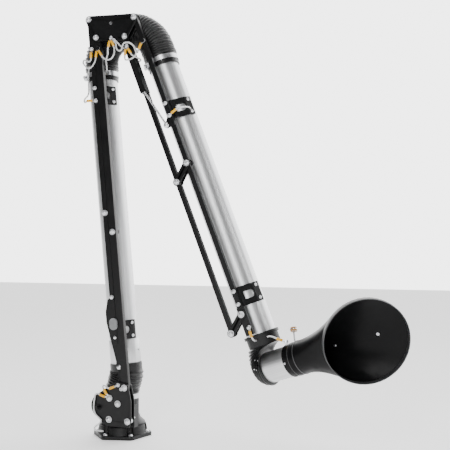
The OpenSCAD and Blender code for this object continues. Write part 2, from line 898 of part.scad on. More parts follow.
module elbow_hose_low() {
    n = share_count(low_run, low_arc);
    start = hose_low_end + tube_cover * swing(-lower_lean, [0, 1]);
    color(rubber)
        ribbed_hose(concat([hose_low_end], line_points(start, bend_at + polar(bend_r, bend_a0), n),
            arc_points(bend_a0, bend_top_a, 2 * elbow_ribs - n)), 1, 0, [sin(bend_top_a), -cos(bend_top_a)]);
}

module elbow_hose_out() {
    n = share_count(out_run, out_arc);
    start = hose_out_end + tube_cover * swing(-outer_lean, [0, 1]);
    color(rubber)
        ribbed_hose(concat([hose_out_end], line_points(start, bend_at + polar(bend_r, bend_a1), n),
            arc_points(bend_a1, bend_top_a + split_gap_a, 2 * elbow_ribs - n)), 1, 0,
            [-sin(bend_top_a + split_gap_a), cos(bend_top_a + split_gap_a)]);
}
split_gap_a = -0.3;

// Outer arm
beam_r = beam_w / 2;
beam_plate_x = [-8, 12];
beam_plate_h = 70;
end_ground_at = [5.6, 18.2];
beam_plate_from = outer_len - beam_plate_h;
socket_s = 347;
socket_r = 5;
top_bracket_s = 256;
end_bracket_above = 94;
outer_bracket_s = [top_bracket_s, outer_len - end_bracket_above];
stud_s = 65.2;
stud_x = 1;
stud_out = 6;
stud_r = 5;
module outer_beam() {
    color(black)
        at_outer()
            difference() {
                union() {
                    translate([-beam_r, -half_t, -outer_len]) cube([beam_w, bar_t, outer_len]);
                    rod_y(-half_t, half_t, beam_w);
                    translate([beam_plate_x[0], -half_t, -outer_len])
                        cube([beam_plate_x[1] - beam_plate_x[0], bar_t, outer_len - beam_plate_from]);
                    translate([stud_x, 0, -stud_s]) rod_y(-half_t - stud_out, 0, 2 * stud_r);
                    translate([0, 0, -socket_s]) rod_y(-half_t - 2 * seat, 0, 2 * socket_r);
                }
                for (s = [0, mid_link_s, end_link_s])
                    translate([0, 0, -s]) rod_y(-half_t - cut, half_t + cut, bore_d);
                bar_bolt_holes([for (s = outer_bracket_s) -s]);
                translate([0, 0, -socket_s]) rod_y(-half_t - cut, 0, socket_r);
            }
}

module outer_tube() {
    color(alu)
        at_outer()
            translate([outer_tube_x, bar_offset, 0])
                difference() {
                    translate([0, 0, -outer_tube_end_s])
                        pipe(outer_tube_end_s - outer_tube_top_s, duct_r, duct_r - duct_wall);
                    tube_holes([for (s = outer_bracket_s) -s]);
                }
}

module outer_tube_ring() {
    color(rubber)
        at_outer()
            translate([outer_tube_x, bar_offset, -outer_ring_s - ring_h]) pipe(ring_h, ring_r, duct_r + seat);
}

outer_clamp_turn = -60;
module outer_clamp() {
    color(zinc)
        at_outer()
            translate([outer_tube_x, bar_offset, 0])
                rotate([0, 0, outer_clamp_turn]) clamp(-outer_ring_s + tube_cover / 2);
}

module outer_brackets() {
    color(black)
        at_outer()
            difference() {
                translate([outer_tube_x, bar_offset, 0])
                    for (s = outer_bracket_s)
                        translate([0, 0, -s]) bracket(outer_angles, outer_flat_from, outer_window, outer_angles[1]);
                for (s = outer_bracket_s) for (k = [-1, 1])
                    translate([0, 0, -s + k * bracket_pitch / 2])
                        rod_y(half_t - cut, half_t + bracket_t + cut, small_d + 2 * hole_play);
            }
}

module outer_bracket_bolts() {
    color(zinc)
        at_outer() {
            translate([outer_tube_x, bar_offset, 0]) tube_bolts([for (s = outer_bracket_s) -s]);
            for (s = outer_bracket_s) for (k = [-1, 1])
                translate([0, 0, -s + k * bracket_pitch / 2]) {
                    seat_y = s == outer_bracket_s[0] ? -half_t - lug_t : -half_t;
                    dome_head(seat_y, head_r - 1, head_h - 1);
                    rod_y(seat_y, half_t + bracket_t, small_d);
                }
            translate([end_ground_at.x, 0, -outer_len + end_ground_at.y])
                dome_head(-half_t, head_r - 1, head_h - 1);
        }
}

// Lug plate of the pull rod, on the beam's front
slider_pin = 152;
lug_t = 3.4;
lug_x = -14;
lug_eye_r = 6.5;
lug_s = slider_pin - rod_place.y + sqrt(pull_len * pull_len - pow(rod_place.x - lug_x, 2));
lug_top = 230;
module lug_outline() {
    translate([-beam_r, -lug_s - lug_eye_r + 1]) square([2 * beam_r, lug_s + lug_eye_r - 1 - lug_top]);
    hull() {
        translate([lug_x, -lug_s]) circle(lug_eye_r, $fn = smooth);
        translate([-beam_r, -lug_s - lug_eye_r + 1]) square([beam_r, 4 * lug_eye_r]);
    }
}

module pull_lug() {
    color(black)
        at_outer()
            difference() {
                plate_y(-half_t - lug_t, -half_t) lug_outline();
                for (k = [-1, 1])
                    translate([0, 0, -outer_bracket_s[0] + k * bracket_pitch / 2])
                        rod_y(-half_t - lug_t - cut, -half_t + cut, small_d + 2 * hole_play);
            }
}

// Rod, drawn from its own upper pivot
module outer_rod() {
    t = half_t - strut_play;
    color(black)
        at_rod()
            difference() {
                union() {
                    translate([-beam_r, -t, -end_link_s]) cube([beam_w, 2 * t, end_link_s]);
                    for (s = [0, end_link_s]) translate([0, 0, -s]) rod_y(-t, t, beam_w);
                }
                for (s = [0, mid_link_s, end_link_s])
                    translate([0, 0, -s]) rod_y(-t - cut, t + cut, bore_d);
                translate([0, 0, -box_bolt_s]) rod_y(-t - cut, t + cut, small_d + 2 * hole_play);
            }
}

// Spring box round the rod, with a chamber in front for the slider
box_top = 25;
box_end = 158;
box_wall = 1;
box_w = beam_w + 3;
box_front = 20;
box_bolt_s = 31;
module spring_box() {
    back = half_t - strut_play + box_wall;
    color(black)
        at_rod()
            difference() {
                translate([-box_w / 2, -box_front, -box_end]) cube([box_w, box_front + back, box_end - box_top]);
                translate([-box_w / 2 + box_wall, -box_front + box_wall, -box_end - cut])
                    cube([box_w - 2 * box_wall, box_front + back - 2 * box_wall, box_end - box_top + 2 * cut]);
                translate([0, 0, -box_bolt_s]) rod_y(-box_front - cut, back + cut, small_d + 2 * hole_play);
            }
}

module box_bolt() {
    color(zinc)
        at_rod()
            translate([0, 0, -box_bolt_s]) {
                dome_head(-box_front, head_r - 1, head_h - 1);
                rod_y(-box_front, half_t + box_wall, small_d);
            }
}

// Coil spring above the slider, one unbroken tube that goes round its own axis
slider_len = 90;
slider_top = slider_pin - slider_len;
spring_wire_r = 0.7;
spring_r = 4.4;
spring_turns = 12;
spring_top_s = box_bolt_s + small_d;
spring_y = -(box_front - box_wall + half_t) / 2;
coil_steps = 8;
coil_sides = 6;
module balance_spring() {
    steps = spring_turns * coil_steps;
    drop = (slider_top - spring_top_s - 4 * spring_wire_r) / steps;
    rise = atan2(drop * coil_steps, 2 * PI * spring_r);
    rings = [for (i = [0:steps]) let (a = 360 * i / coil_steps)
        [for (k = [0:coil_sides - 1]) let (b = 360 * k / coil_sides)
            let (out = spring_wire_r * cos(b), up = spring_wire_r * sin(b))
                [(spring_r + out) * cos(a) + up * sin(rise) * sin(a),
                 (spring_r + out) * sin(a) - up * sin(rise) * cos(a),
                 -i * drop - up * cos(rise)]]];
    n = coil_sides;
    echo(coil_gap = drop * coil_steps - 2 * spring_wire_r);
    color(zinc)
        at_rod()
            translate([0, spring_y, -spring_top_s - 2 * spring_wire_r])
                polyhedron(
                    points = [for (q = rings) each q],
                    faces = concat(
                        [for (i = [0:steps - 1]) for (k = [0:n - 1])
                            [i * n + k, (i + 1) * n + (k + 1) % n, (i + 1) * n + k]],
                        [for (i = [0:steps - 1]) for (k = [0:n - 1])
                            [i * n + k, i * n + (k + 1) % n, (i + 1) * n + (k + 1) % n]],
                        [[for (k = [n - 1:-1:0]) k]],
                        [[for (k = [0:n - 1]) steps * n + k]]
                    ),
                    convexity = 10
                );
}

slider_play = 0.4;
module spring_slider() {
    w = box_w - 2 * box_wall - 2 * slider_play;
    front = -box_front + box_wall + slider_play;
    back = -half_t - slider_play;
    fork = rod_d + 2 * (eye_rim + fork_gap);
    color(zinc)
        at_rod()
            difference() {
                translate([-w / 2, front, -slider_pin - fork]) cube([w, back - front, slider_len + fork]);
                translate([-w / 2 - cut, spring_y - fork / 2, -slider_pin - fork - cut])
                    cube([w + 2 * cut, fork, 3 * fork + cut]);
                translate([0, 0, -slider_pin]) rod_y(front - cut, back + cut, slider_pin_d + 2 * hole_play);
            }
}

// Pull rod with an eye on the slider's pin and a dome-headed eye in front of the lug
rod_d = 5;
fork_gap = 0.4;
eye_rim = 0.5;
slider_pin_d = 3;
pull_eye_r = 6;
pull_a = atan2(lug_x - rod_place.x, sqrt(pull_len * pull_len - pow(rod_place.x - lug_x, 2)));
module pull_rod() {
    eye_front = -half_t - lug_t - run_gap;
    head = 5;
    thick = rod_d / 2 + eye_rim;
    color(zinc)
        at_rod()
            translate([0, 0, -slider_pin])
                rotate([0, -pull_a, 0]) {
                    difference() {
                        union() {
                            translate([0, spring_y, -pull_len]) cylinder(h = pull_len, d = rod_d);
                            rod_y(spring_y - thick, spring_y + thick, rod_d + 2);
                            translate([0, 0, -pull_len]) rod_y(spring_y - thick, eye_front, 2 * pull_eye_r);
                        }
                        rod_y(spring_y - rod_d, spring_y + rod_d, slider_pin_d + 2 * pin_play);
                    }
                    translate([0, 0, -pull_len]) dome_head(spring_y - thick - seat, head_r, head);
                }
    color(zinc)
        at_rod()
            translate([0, 0, -slider_pin])
                rod_y(-box_front + box_wall + slider_play, -half_t - slider_play, slider_pin_d);
}

// Link plates of the outer arm, in front of and behind the bars
module at_outer_link(s) {
    at_bars(outer_top + swing(-outer_lean, [0, -s]), 0) children();
}

module outer_link(s) {
    color(black)
        at_outer_link(s)
            for (y = [[-plate_out, -plate_in], [plate_in, plate_out]]) link_plate(y[0], y[1], far_link);
}

module outer_link_bolts(s) {
    color(zinc) at_outer_link(s) places([[0, 0], far_link]) pivot_bolt();
}

module outer_mid_link() {
    outer_link(mid_link_s);
}

module outer_end_link() {
    outer_link(end_link_s);
}

module outer_link_bolts_mid() {
    outer_link_bolts(mid_link_s);
}

module outer_link_bolts_end() {
    outer_link_bolts(end_link_s);
}

// Swivel collar on the outer tube's end, with two hanging straps inside the hose
collar_t = 2.4;
collar_up = 18;
collar_low = 12;
collar_flange_h = 8;
lip_t = 3;
lip_r = 28;
hinge_back = 23;
strap_half = 6;
strap_t = 3;
strap_y = 14;
strap_play = 0.3;
collar_r = duct_r + run_gap + collar_t;
hinge_at = [0, -corner_drop] + swing(90 - hood_tilt, [-hinge_back, 0]);
module hood_swivel_collar() {
    color(black)
        at_collar() {
            translate([0, 0, -collar_low]) pipe(collar_up + collar_low, collar_r, duct_r + run_gap);
            translate([0, 0, collar_up - collar_flange_h]) pipe(collar_flange_h, hose_crest, duct_r + run_gap);
            translate([0, 0, -collar_low]) pipe(lip_t, collar_r, lip_r);
            for (k = [-1, 1])
                translate([0, k * (strap_y + strap_t / 2), 0])
                    difference() {
                        union() {
                            translate([hinge_at.x - strap_half, -strap_t / 2, hinge_at.y])
                                cube([2 * strap_half, strap_t, lip_t - collar_low - hinge_at.y]);
                            translate([hinge_at.x, 0, hinge_at.y]) rod_y(-strap_t / 2, strap_t / 2, 2 * strap_half);
                        }
                        translate([hinge_at.x, 0, hinge_at.y]) rod_y(-strap_t, strap_t, hinge_pin_d + 2 * pin_play);
                    }
        }
}

// Hood hose: the inner and the outer side of its section follow two curves
boot_r = hose_crest;
boot_steps = 22;
boot_valley_share = 0.93;
boot_wall = 2.1;
function hood_at(p) = [0, -corner_drop] + swing(90 - hood_tilt, p);
boot_end = -8;
boot_outer = [
    [-boot_r, -collar_low - run_gap], duct_d * [-0.76, -0.6],
    hood_at(duct_r * [-1.55, -1.13]), hood_at([boot_end, -boot_r])
];
boot_inner = [
    [boot_r, -collar_low - run_gap], duct_d * [0.26, -0.2],
    hood_at(duct_r * [-0.38, 1.62]), hood_at([boot_end, boot_r])
];
function boot_ring(t, k, less) =
    let (o = bezier(boot_outer, t), q = bezier(boot_inner, t), c = (o + q) / 2, h = (o - q) / 2)
    let (r = norm(h) * k - less, w = boot_r * k - less, e = unit2(h))
    [for (i = [0:hose_sides - 1]) let (a = 360 * i / hose_sides)
        [c.x + e.x * r * cos(a), -w * sin(a), c.y + e.y * r * cos(a)]];

module hood_hose() {
    outer = [for (i = [0:boot_steps]) boot_ring(i / boot_steps, i % 2 == 0 ? boot_valley_share : 1, 0)];
    inner = [for (i = [0:2:boot_steps]) boot_ring(i / boot_steps, boot_valley_share, boot_wall)];
    color(rubber) at_collar() skin(outer, inner, hose_sides);
}

// Yoke in the neck tube, hinged between the collar's straps
hinge_pin_d = 6;
neck_start = -12;
yoke_ring_h = 6;
yoke_ring_t = 2.5;
yoke_bar_h = 10;
ear_y = strap_y - strap_play;
module neck_yoke() {
    bore = duct_r - duct_wall - seat;
    color(zinc)
        at_hood() {
            translate([neck_start, 0, 0])
                rotate([0, 90, 0]) pipe(yoke_ring_h, bore, bore - yoke_ring_t);
            translate([neck_start, -bore + 1, -yoke_bar_h / 2]) cube([yoke_ring_h, 2 * bore - 2, yoke_bar_h]);
            for (k = [-1, 1])
                translate([0, k * (ear_y - strap_t / 2), 0]) {
                    translate([-hinge_back, -strap_t / 2, -strap_half])
                        cube([hinge_back + neck_start + cut, strap_t, 2 * strap_half]);
                    translate([-hinge_back, 0, 0]) rod_y(-strap_t / 2, strap_t / 2, 2 * strap_half);
                }
            translate([-hinge_back, 0, 0]) rod_y(-strap_y - strap_t - 1, strap_y + strap_t + 1, hinge_pin_d);
        }
}

module neck_tube() {
    color(alu)
        at_hood()
            translate([neck_start, 0, 0]) rotate([0, 90, 0]) pipe(neck_len, duct_r, duct_r - duct_wall);
}

// Cuff over the neck tube's end, with the damper's spindle hole
cuff_t = 2.6;
cuff_lap = 2;
cuff_from = neck_start + neck_len - cuff_lap;
cuff_r = duct_r + seat + cuff_t;
damper_x = cuff_from + cuff_len / 2;
damper_turn = -23;
spindle_d = 5;
module cuff_shell() {
    translate([cuff_from, 0, 0])
        rotate([0, 90, 0]) pipe(cuff_len, cuff_r, duct_r + seat);
}

module hood_cuff() {
    color(black)
        at_hood()
            difference() {
                cuff_shell();
                translate([damper_x, 0, 0])
                    rotate([damper_turn, 0, 0])
                        cylinder(h = 4 * cuff_r, d = spindle_d + 2 * pin_play, center = true);
            }
}

// Oblique cone: each line of the shell is a curve from the cuff to the mouth
cone_sides = 48;
cone_steps = 9;
cone_wall = 1.8;
mouth_depth = 14;
mouth_shift = -12.9;
mouth_r = mouth_d / 2;
cone_reach_share = 0.42;
cone_from = cuff_from + cuff_len + seat;
function about_y(a, v) = [v.x * cos(a) + v.z * sin(a), v.y, v.z * cos(a) - v.x * sin(a)];
function about_z(a, v) = [v.x * cos(a) - v.y * sin(a), v.x * sin(a) + v.y * cos(a), v.z];
function mouth_at(v) = [mouth_x, 0, mouth_shift] + about_z(-mouth_yaw, about_y(mouth_pitch, v));
function cone_point(t, a, less) =
    let (p = [cone_from, (cuff_r - less) * cos(a), (cuff_r - less) * sin(a)])
    let (m = mouth_at([-mouth_depth - seat, (mouth_r - less) * cos(a), (mouth_r - less) * sin(a)]))
    let (b = p + [cone_reach_share * (m.x - p.x), 0, 0])
    p * pow(1 - t, 2) + 2 * t * (1 - t) * b + m * t * t;
function cone_ring(t, less) = [for (k = [0:cone_sides - 1]) cone_point(t, -360 * k / cone_sides, less)];

module hood_cone() {
    color(black)
        at_hood()
            skin([for (i = [0:cone_steps]) cone_ring(i / cone_steps, 0)],
                [for (i = [0:cone_steps]) cone_ring(i / cone_steps, cone_wall)], cone_sides);
}

module mouth_collar() {
    color("#4a4c4f")
        at_hood()
            translate([mouth_x, 0, mouth_shift])
                rotate([0, mouth_pitch, -mouth_yaw])
                    translate([-mouth_depth, 0, 0])
                        rotate([0, 90, 0]) pipe(mouth_depth, mouth_r, mouth_r - cone_wall);
}

// Damper: plate, spindle and knob
damper_play = 0.8;
damper_r = duct_r - damper_play;
damper_t = 1.5;
spindle_out = 28;
knob_r = 8.5;
knob_h = 9;
module at_damper() {
    at_hood()
        translate([damper_x, 0, 0])
            rotate([damper_turn, 0, 0]) children();
}

module damper_spindle() {
    color(zinc)
        at_damper() {
            difference() {
                translate([0, 0, -cuff_r]) cylinder(h = 2 * cuff_r + spindle_out, d = spindle_d);
                rod_y(-damper_t / 2 - seat / 2, damper_t / 2 + seat / 2, 2 * (damper_r + seat));
            }
            rod_y(-damper_t / 2, damper_t / 2, 2 * damper_r);
        }
}

module damper_knob() {
    color("#b8862a")
        at_damper()
            translate([0, 0, cuff_r + spindle_out])
                difference() {
                    cylinder(h = knob_h, r = knob_r);
                    translate([0, 0, knob_h - seat * 10]) pipe(knob_h, knob_r - 1, knob_r - 3);
                }
}

// Ground wires: a lug at a screw's rim, a crimp barrel, a sleeve over it, then the wire
wire_r = 2;
wire_sides = 8;
barrel_out = 3.65;
lug_w = 4.4;
lug_run = 3;
barrel_run = 6;
ring_rim = 5.6;
washer_rim = washer_r + seat;
sleeve_run = 14.5;
sleeve_outer_r = 3.35;
silver = "#d0d2d4";
yellow = "#e0b51c";
function lead(at, seat_y, a, d) = [at.x + d * cos(a), seat_y - barrel_out, at.y + d * sin(a)];
function half_way(p, i) = let (last = len(p) - 1)
    (9 * (p[i] + p[i + 1]) - p[max(i - 1, 0)] - p[min(i + 2, last)]) / 16;
function finer(p) = concat([for (i = [0:len(p) - 2]) each [p[i], half_way(p, i)]], [p[len(p) - 1]]);

module wire(route, r = wire_r) {
    path = finer(route);
    last = len(path) - 1;
    n = wire_sides;
    points = [for (i = [0:last])
        let (d = route_dir(path, i), u = cross(d, [0, 1, 0]) / norm(cross(d, [0, 1, 0])), v = cross(d, u))
        for (k = [0:n - 1]) path[i] + r * (cos(360 * k / n) * u + sin(360 * k / n) * v)];
    polyhedron(
        points = points,
        faces = concat(
            [for (i = [0:last - 1]) for (k = [0:n - 1]) [i * n + k, (i + 1) * n + k, (i + 1) * n + (k + 1) % n]],
            [for (i = [0:last - 1]) for (k = [0:n - 1]) [i * n + k, (i + 1) * n + (k + 1) % n, i * n + (k + 1) % n]],
            [[for (k = [0:n - 1]) k]],
            [[for (k = [n - 1:-1:0]) last * n + k]]
        ),
        convexity = 6
    );
}

// A terminal beside a screw whose head sits at seat_y, leading away at angle a
module terminal(at, seat_y, a, rim = ring_rim, sleeved = true) {
    color(silver)
        translate([at.x, 0, at.y])
            rotate([0, -a, 0]) {
                translate([rim, seat_y - barrel_out - wire_r, -lug_w / 2])
                    cube([lug_run, barrel_out + wire_r - seat, lug_w]);
                translate([rim + lug_run, seat_y - barrel_out, 0])
                    rotate([0, 90, 0]) cylinder(h = barrel_run, r = wire_r);
            }
    if (sleeved)
        color(yellow)
            translate([at.x, 0, at.y])
                rotate([0, -a, 0])
                    translate([rim + lug_run + run_gap, seat_y - barrel_out, 0])
                        rotate([0, 90, 0]) pipe(sleeve_run, sleeve_outer_r, wire_r + run_gap);
}

// Where a wire starts inside its sleeve, its middle, and the sleeve's mouth
function lead_in(at, seat_y, a, rim = ring_rim) =
    [for (d = [barrel_run + run_gap, (barrel_run + sleeve_run) / 2, sleeve_run + run_gap])
        lead(at, seat_y, a, rim + lug_run + d)];

base_up_a = 122.5;
base_low_a = 162.5;
cheek_lead_a = -157;
base_arch = [
    [-20.2, -14.5, 131.5], [-18.5, -14.5, 136], [-13, -14.5, 136], [-8.5, -14.5, 131.5]
];
base_drop = [
    [-35.5, -14.5, 115], [-41, -15, 111], [-43, -15.5, 100], [-44.3, -15.5, 90], [-44.8, -15.5, 80],
    [-44.2, -15, 71], [-39.5, -14.4, 62], [-31.2, -14.4, 55], [-24.7, -15, 49.5], [-26, -16.5, 43],
    [-33, -18.5, 37], [-41, -18, 30], [-42.5, -14, 23.5], [-34, -9, 20.5], [-22, -6, 19.5]
];
module base_jumpers() {
    p4 = plain_bolts_at[1];
    translate([0, -bar_offset, 0]) {
        for (a = [base_up_a, base_low_a]) terminal(p4, -plate_out, a, washer_rim);
        terminal(cheek_ground_at, -plate_out, cheek_lead_a);
        color(silver) {
            wire(concat(lead_in(p4, -plate_out, base_up_a, washer_rim), base_arch,
                backwards(lead_in(cheek_ground_at, -plate_out, cheek_lead_a))));
            wire(concat(lead_in(p4, -plate_out, base_low_a, washer_rim), base_drop));
        }
    }
}

// Lead at the upper bracket that goes up behind the carrier's side
carrier_lead_a = 175;
carrier_climb = [
    [-29.5, -10, -1], [-32, -9.5, 3], [-29, -9, 9.5], [-22, -8, 15], [-18.5, -7.5, 23], [-19, -5, 34],
    [-19.5, -2, 50], [-20.5, 3, 67], [-21, 7, 82], [-20, 10.5, 96]
];
module carrier_lead() {
    z = lower_bracket_z[1] - bracket_pitch / 2;
    at_lower() {
        terminal([0, z], -half_t, carrier_lead_a);
        color(silver) translate([0, 0, z]) wire(concat(lead_in([0, 0], -half_t, carrier_lead_a), carrier_climb));
    }
}

// Ground wires round the elbow, in the elbow plates' frame
function in_elbow(p) = swing(-elbow_tilt, p - elbow_mid);
carrier_end_at = in_elbow(lower_top - swing(-lower_lean, [0, carrier_ground_below]));
strut_end_at = in_elbow(lower_top + link - swing(-lower_lean, [0, strut_ground_below]));
box_end_at = in_elbow(rod_top + swing(-outer_lean, [0, -box_bolt_s]));
stud_end_at = in_elbow(outer_top + swing(-outer_lean, [stud_x, -stud_s]));
carrier_end_a = -87.6;
strut_end_a = [-95.6, -54.6];
ground_end_a = [-102.6, -65.6, -47.6, -25.6];
box_end_a = [-95.6, -52.6];
stud_end_a = -112.6;
strut_front = -half_t + strut_play;
carrier_to_strut = [
    [-53.1, -10.2, -103.7], [-56.7, -9.5, -107.8], [-64.3, -8, -106.6], [-71.9, -6, -103.5],
    [-77.4, -4, -103.2], [-79.2, -4, -109.8], [-71.6, -6, -117.9], [-60.2, -9, -124.6],
    [-49.6, -10.5, -121.7], [-43, -10.5, -112.8], [-39.7, -9.8, -102.7]
];
strut_to_ground = [
    [-19.3, -10.5, -98.2], [-12, -11, -102.9], [-1.7, -12, -105.7], [8.2, -13, -102],
    [14.3, -14, -93], [15.6, -14.5, -80.4]
];
ground_to_back = [
    [-3.3, -14.5, -78.3], [-5.5, -9, -87.7], [-12.6, 0, -93.4], [-18.3, 6, -102.1],
    [-18.5, 10, -116.7], [-17.2, 11.5, -130.8]
];
ground_to_box = [
    [18.6, -14.6, -65.6], [21.6, -15, -77.5], [26.3, -15, -83.4], [31.9, -16, -84.8],
    [38, -17.5, -81.6], [42.2, -22, -74.5], [48.7, -26.5, -68.9], [61.9, -28, -68.4],
    [73, -25, -74.9], [79.5, -23.6, -87.3], [81.1, -23.6, -97], [74.3, -23.7, -105.8],
    [61.5, -23.7, -110.4], [52.4, -23.7, -109.8]
];
ground_to_stud = [
    [23.5, -13, -63.9], [28.8, -9, -70.2], [34.4, -1, -74.5], [40, 9.2, -75.2], [50, 10.6, -74.8],
    [60, 10.6, -75.4], [68, 5.5, -80.6], [74.5, -3, -86.8], [78.8, -9, -89.3]
];
box_to_back = [
    [70.6, -23.7, -98.7], [76.6, -22.2, -102.2], [80.7, -14, -104.1], [82.2, -4, -104.5],
    [81.3, 5, -106], [75.4, 10.4, -107.8], [67.4, 10.6, -107.6]
];
module elbow_jumpers() {
    ground = elbow_spacers_at[1];
    at_elbow() {
        terminal(carrier_end_at, -half_t, carrier_end_a);
        for (a = strut_end_a) terminal(strut_end_at, strut_front, a);
        for (i = [0:3]) terminal(ground, -plate_out, ground_end_a[i], ring_rim, i < 2);
        for (a = box_end_a) terminal(box_end_at, -box_front, a);
        terminal(stud_end_at, -half_t, stud_end_a);
        color(silver) {
            wire(concat(lead_in(carrier_end_at, -half_t, carrier_end_a), carrier_to_strut,
                backwards(lead_in(strut_end_at, strut_front, strut_end_a[0]))));
            wire(concat(lead_in(strut_end_at, strut_front, strut_end_a[1]), strut_to_ground,
                backwards(lead_in(ground, -plate_out, ground_end_a[1]))));
            wire(concat(lead_in(ground, -plate_out, ground_end_a[0]), ground_to_back));
            wire(concat([lead_in(ground, -plate_out, ground_end_a[2])[0]], ground_to_box,
                backwards(lead_in(box_end_at, -box_front, box_end_a[0]))));
            wire(concat([lead_in(ground, -plate_out, ground_end_a[3])[0]], ground_to_stud,
                backwards(lead_in(stud_end_at, -half_t, stud_end_a))));
            wire(concat(lead_in(box_end_at, -box_front, box_end_a[1]), box_to_back));
        }
    }
}

// Lead from the beam to the tube bolt of the upper outer bracket
outer_lead_a = 14;
outer_lead_route = [[29, -11.5, 6], [36, -3, 7.5], [42, 10, 8], [45, 22, 7.5], [44.6, 31.4, 6.3]];
module outer_jumpers() {
    at = [0, -outer_bracket_s[0] - bracket_pitch / 2];
    at_outer() {
        terminal(at, -half_t - lug_t, outer_lead_a);
        color(silver)
            translate([0, 0, at.y])
                wire(concat(lead_in([0, 0], -half_t - lug_t, outer_lead_a), outer_lead_route));
    }
}

// Leads from the beam's end to the collar, and from the collar to the cuff
end_lead_a = -90.5;
end_lead_route = [[5.9, -8.5, -11], [6.2, -2, -15.5], [5.8, 6.5, -17], [5.2, 13, -17]];
cuff_lead_route = [[32.6, -27.4, 72], [38, -24.8, 71.4], [43.5, -21.2, 67.5], [47, -18.8, 63.6]];
cuff_sleeve = [[49, -17.5, 61.5], [59.5, -10.8, 51.5]];
post_less = 1.7;
module cord_piece(from, to, r, bore) {
    d = to - from;
    translate(from)
        rotate([0, acos(d.z / norm(d)), atan2(d.y, d.x)])
            if (bore == 0) cylinder(h = norm(d), r = r);
            else pipe(norm(d), r, bore);
}

module hood_jumpers() {
    at = [end_ground_at.x, -outer_len + end_ground_at.y];
    d = unit2(cuff_sleeve[1] - cuff_sleeve[0]);
    at_outer() {
        terminal(at, -half_t, end_lead_a);
        color(silver)
            translate([0, 0, -outer_len])
                wire(concat(lead_in([at.x, end_ground_at.y], -half_t, end_lead_a), end_lead_route));
    }
    at_hood() {
        color(yellow) cord_piece(cuff_sleeve[0], cuff_sleeve[1], sleeve_outer_r, wire_r + run_gap);
        color(silver) {
            wire(concat(cuff_lead_route, [for (k = [0, 2, 2 * lug_run]) cuff_sleeve[0] + k * d]));
            cord_piece(cuff_sleeve[1] - barrel_run * d, cuff_sleeve[1] + lug_run * d, wire_r, 0);
            translate(cuff_sleeve[1] + (lug_run + seat) * d)
                translate([0, -lug_w / 2, 0]) rotate([0, 90, 0])
                    cube([cuff_sleeve[1].z - cuff_r - post_less, lug_w, lug_run]);
        }
    }
}

mounting_flange();
flange_bolts();
swivel_ring();
turret_housing();
front_cheek();
rear_cheek();
cheek_bolts();
spring_drum();
base_pivot_bolts();
base_clamp();
base_hose();
carrier_bar();
carrier_root_plate();
stop_pad();
lower_tube();
lower_sleeve();
lower_tube_ring();
lower_brackets();
lower_bracket_bolts();
lower_clamps();
strut_bar();
lower_link();
lower_link_bolts();
elbow_front_plate();
elbow_back_plate();
elbow_pivot_bolts();
elbow_hose_low();
elbow_hose_out();
outer_beam();
outer_tube();
outer_tube_ring();
outer_brackets();
outer_bracket_bolts();
outer_clamp();
pull_lug();
outer_rod();
spring_box();
box_bolt();
balance_spring();
spring_slider();
pull_rod();
outer_mid_link();
outer_end_link();
outer_link_bolts_mid();
outer_link_bolts_end();
hood_swivel_collar();
hood_hose();
neck_yoke();
neck_tube();
hood_cuff();
hood_cone();
mouth_collar();
damper_spindle();
damper_knob();
base_jumpers();
carrier_lead();
elbow_jumpers();
outer_jumpers();
hood_jumpers();
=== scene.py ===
# Fume extraction arm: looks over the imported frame
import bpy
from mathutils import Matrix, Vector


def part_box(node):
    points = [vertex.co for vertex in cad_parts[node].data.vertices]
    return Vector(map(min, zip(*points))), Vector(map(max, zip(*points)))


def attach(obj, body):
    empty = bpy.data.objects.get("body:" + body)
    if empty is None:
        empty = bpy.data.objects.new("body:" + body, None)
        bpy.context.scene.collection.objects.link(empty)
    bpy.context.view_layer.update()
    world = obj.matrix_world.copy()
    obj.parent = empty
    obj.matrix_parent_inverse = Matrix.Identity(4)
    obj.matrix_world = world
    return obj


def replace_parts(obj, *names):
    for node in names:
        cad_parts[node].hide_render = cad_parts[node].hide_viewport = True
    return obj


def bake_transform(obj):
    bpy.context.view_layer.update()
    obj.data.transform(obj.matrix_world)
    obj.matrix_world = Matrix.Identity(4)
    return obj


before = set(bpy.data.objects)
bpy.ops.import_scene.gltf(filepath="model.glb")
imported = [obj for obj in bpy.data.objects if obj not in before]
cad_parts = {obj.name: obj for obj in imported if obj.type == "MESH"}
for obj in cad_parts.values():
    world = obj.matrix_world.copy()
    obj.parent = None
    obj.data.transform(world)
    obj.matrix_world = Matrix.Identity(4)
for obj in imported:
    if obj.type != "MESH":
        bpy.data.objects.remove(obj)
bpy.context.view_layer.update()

from math import cos, pi, radians, sin, tau

import bmesh
import bpy
from mathutils import Matrix, Vector, noise
from mathutils.bvhtree import BVHTree

mm = 0.001

# ---------------------------------------------------------------- camera and lights
camera_at = Vector((0.962, -1.868, 0.491))
camera_turn = (radians(91.4), 0, radians(20))
photo_lens, sensor = 64, 36


def make_camera():
    data = bpy.data.cameras.new("camera")
    data.lens = photo_lens
    data.sensor_width = sensor
    camera = bpy.data.objects.new("camera", data)
    camera.location = camera_at
    camera.rotation_euler = camera_turn
    bpy.context.scene.collection.objects.link(camera)
    bpy.context.scene.camera = camera


def soft_light(name, at, aim, size, power):
    data = bpy.data.lights.new(name, "AREA")
    data.shape = "RECTANGLE"
    data.size, data.size_y = size
    data.energy = power
    light = bpy.data.objects.new(name, data)
    light.location = at
    light.rotation_euler = (Vector(aim) - Vector(at)).to_track_quat("-Z", "Y").to_euler()
    bpy.context.scene.collection.objects.link(light)


make_camera()


# ---------------------------------------------------------------- the arm's own frames, as in the source
def turn_y(degrees):
    return Matrix.Rotation(radians(degrees), 4, "Y")


def turn_z(degrees):
    return Matrix.Rotation(radians(degrees), 4, "Z")


def turn_x(degrees):
    return Matrix.Rotation(radians(degrees), 4, "X")


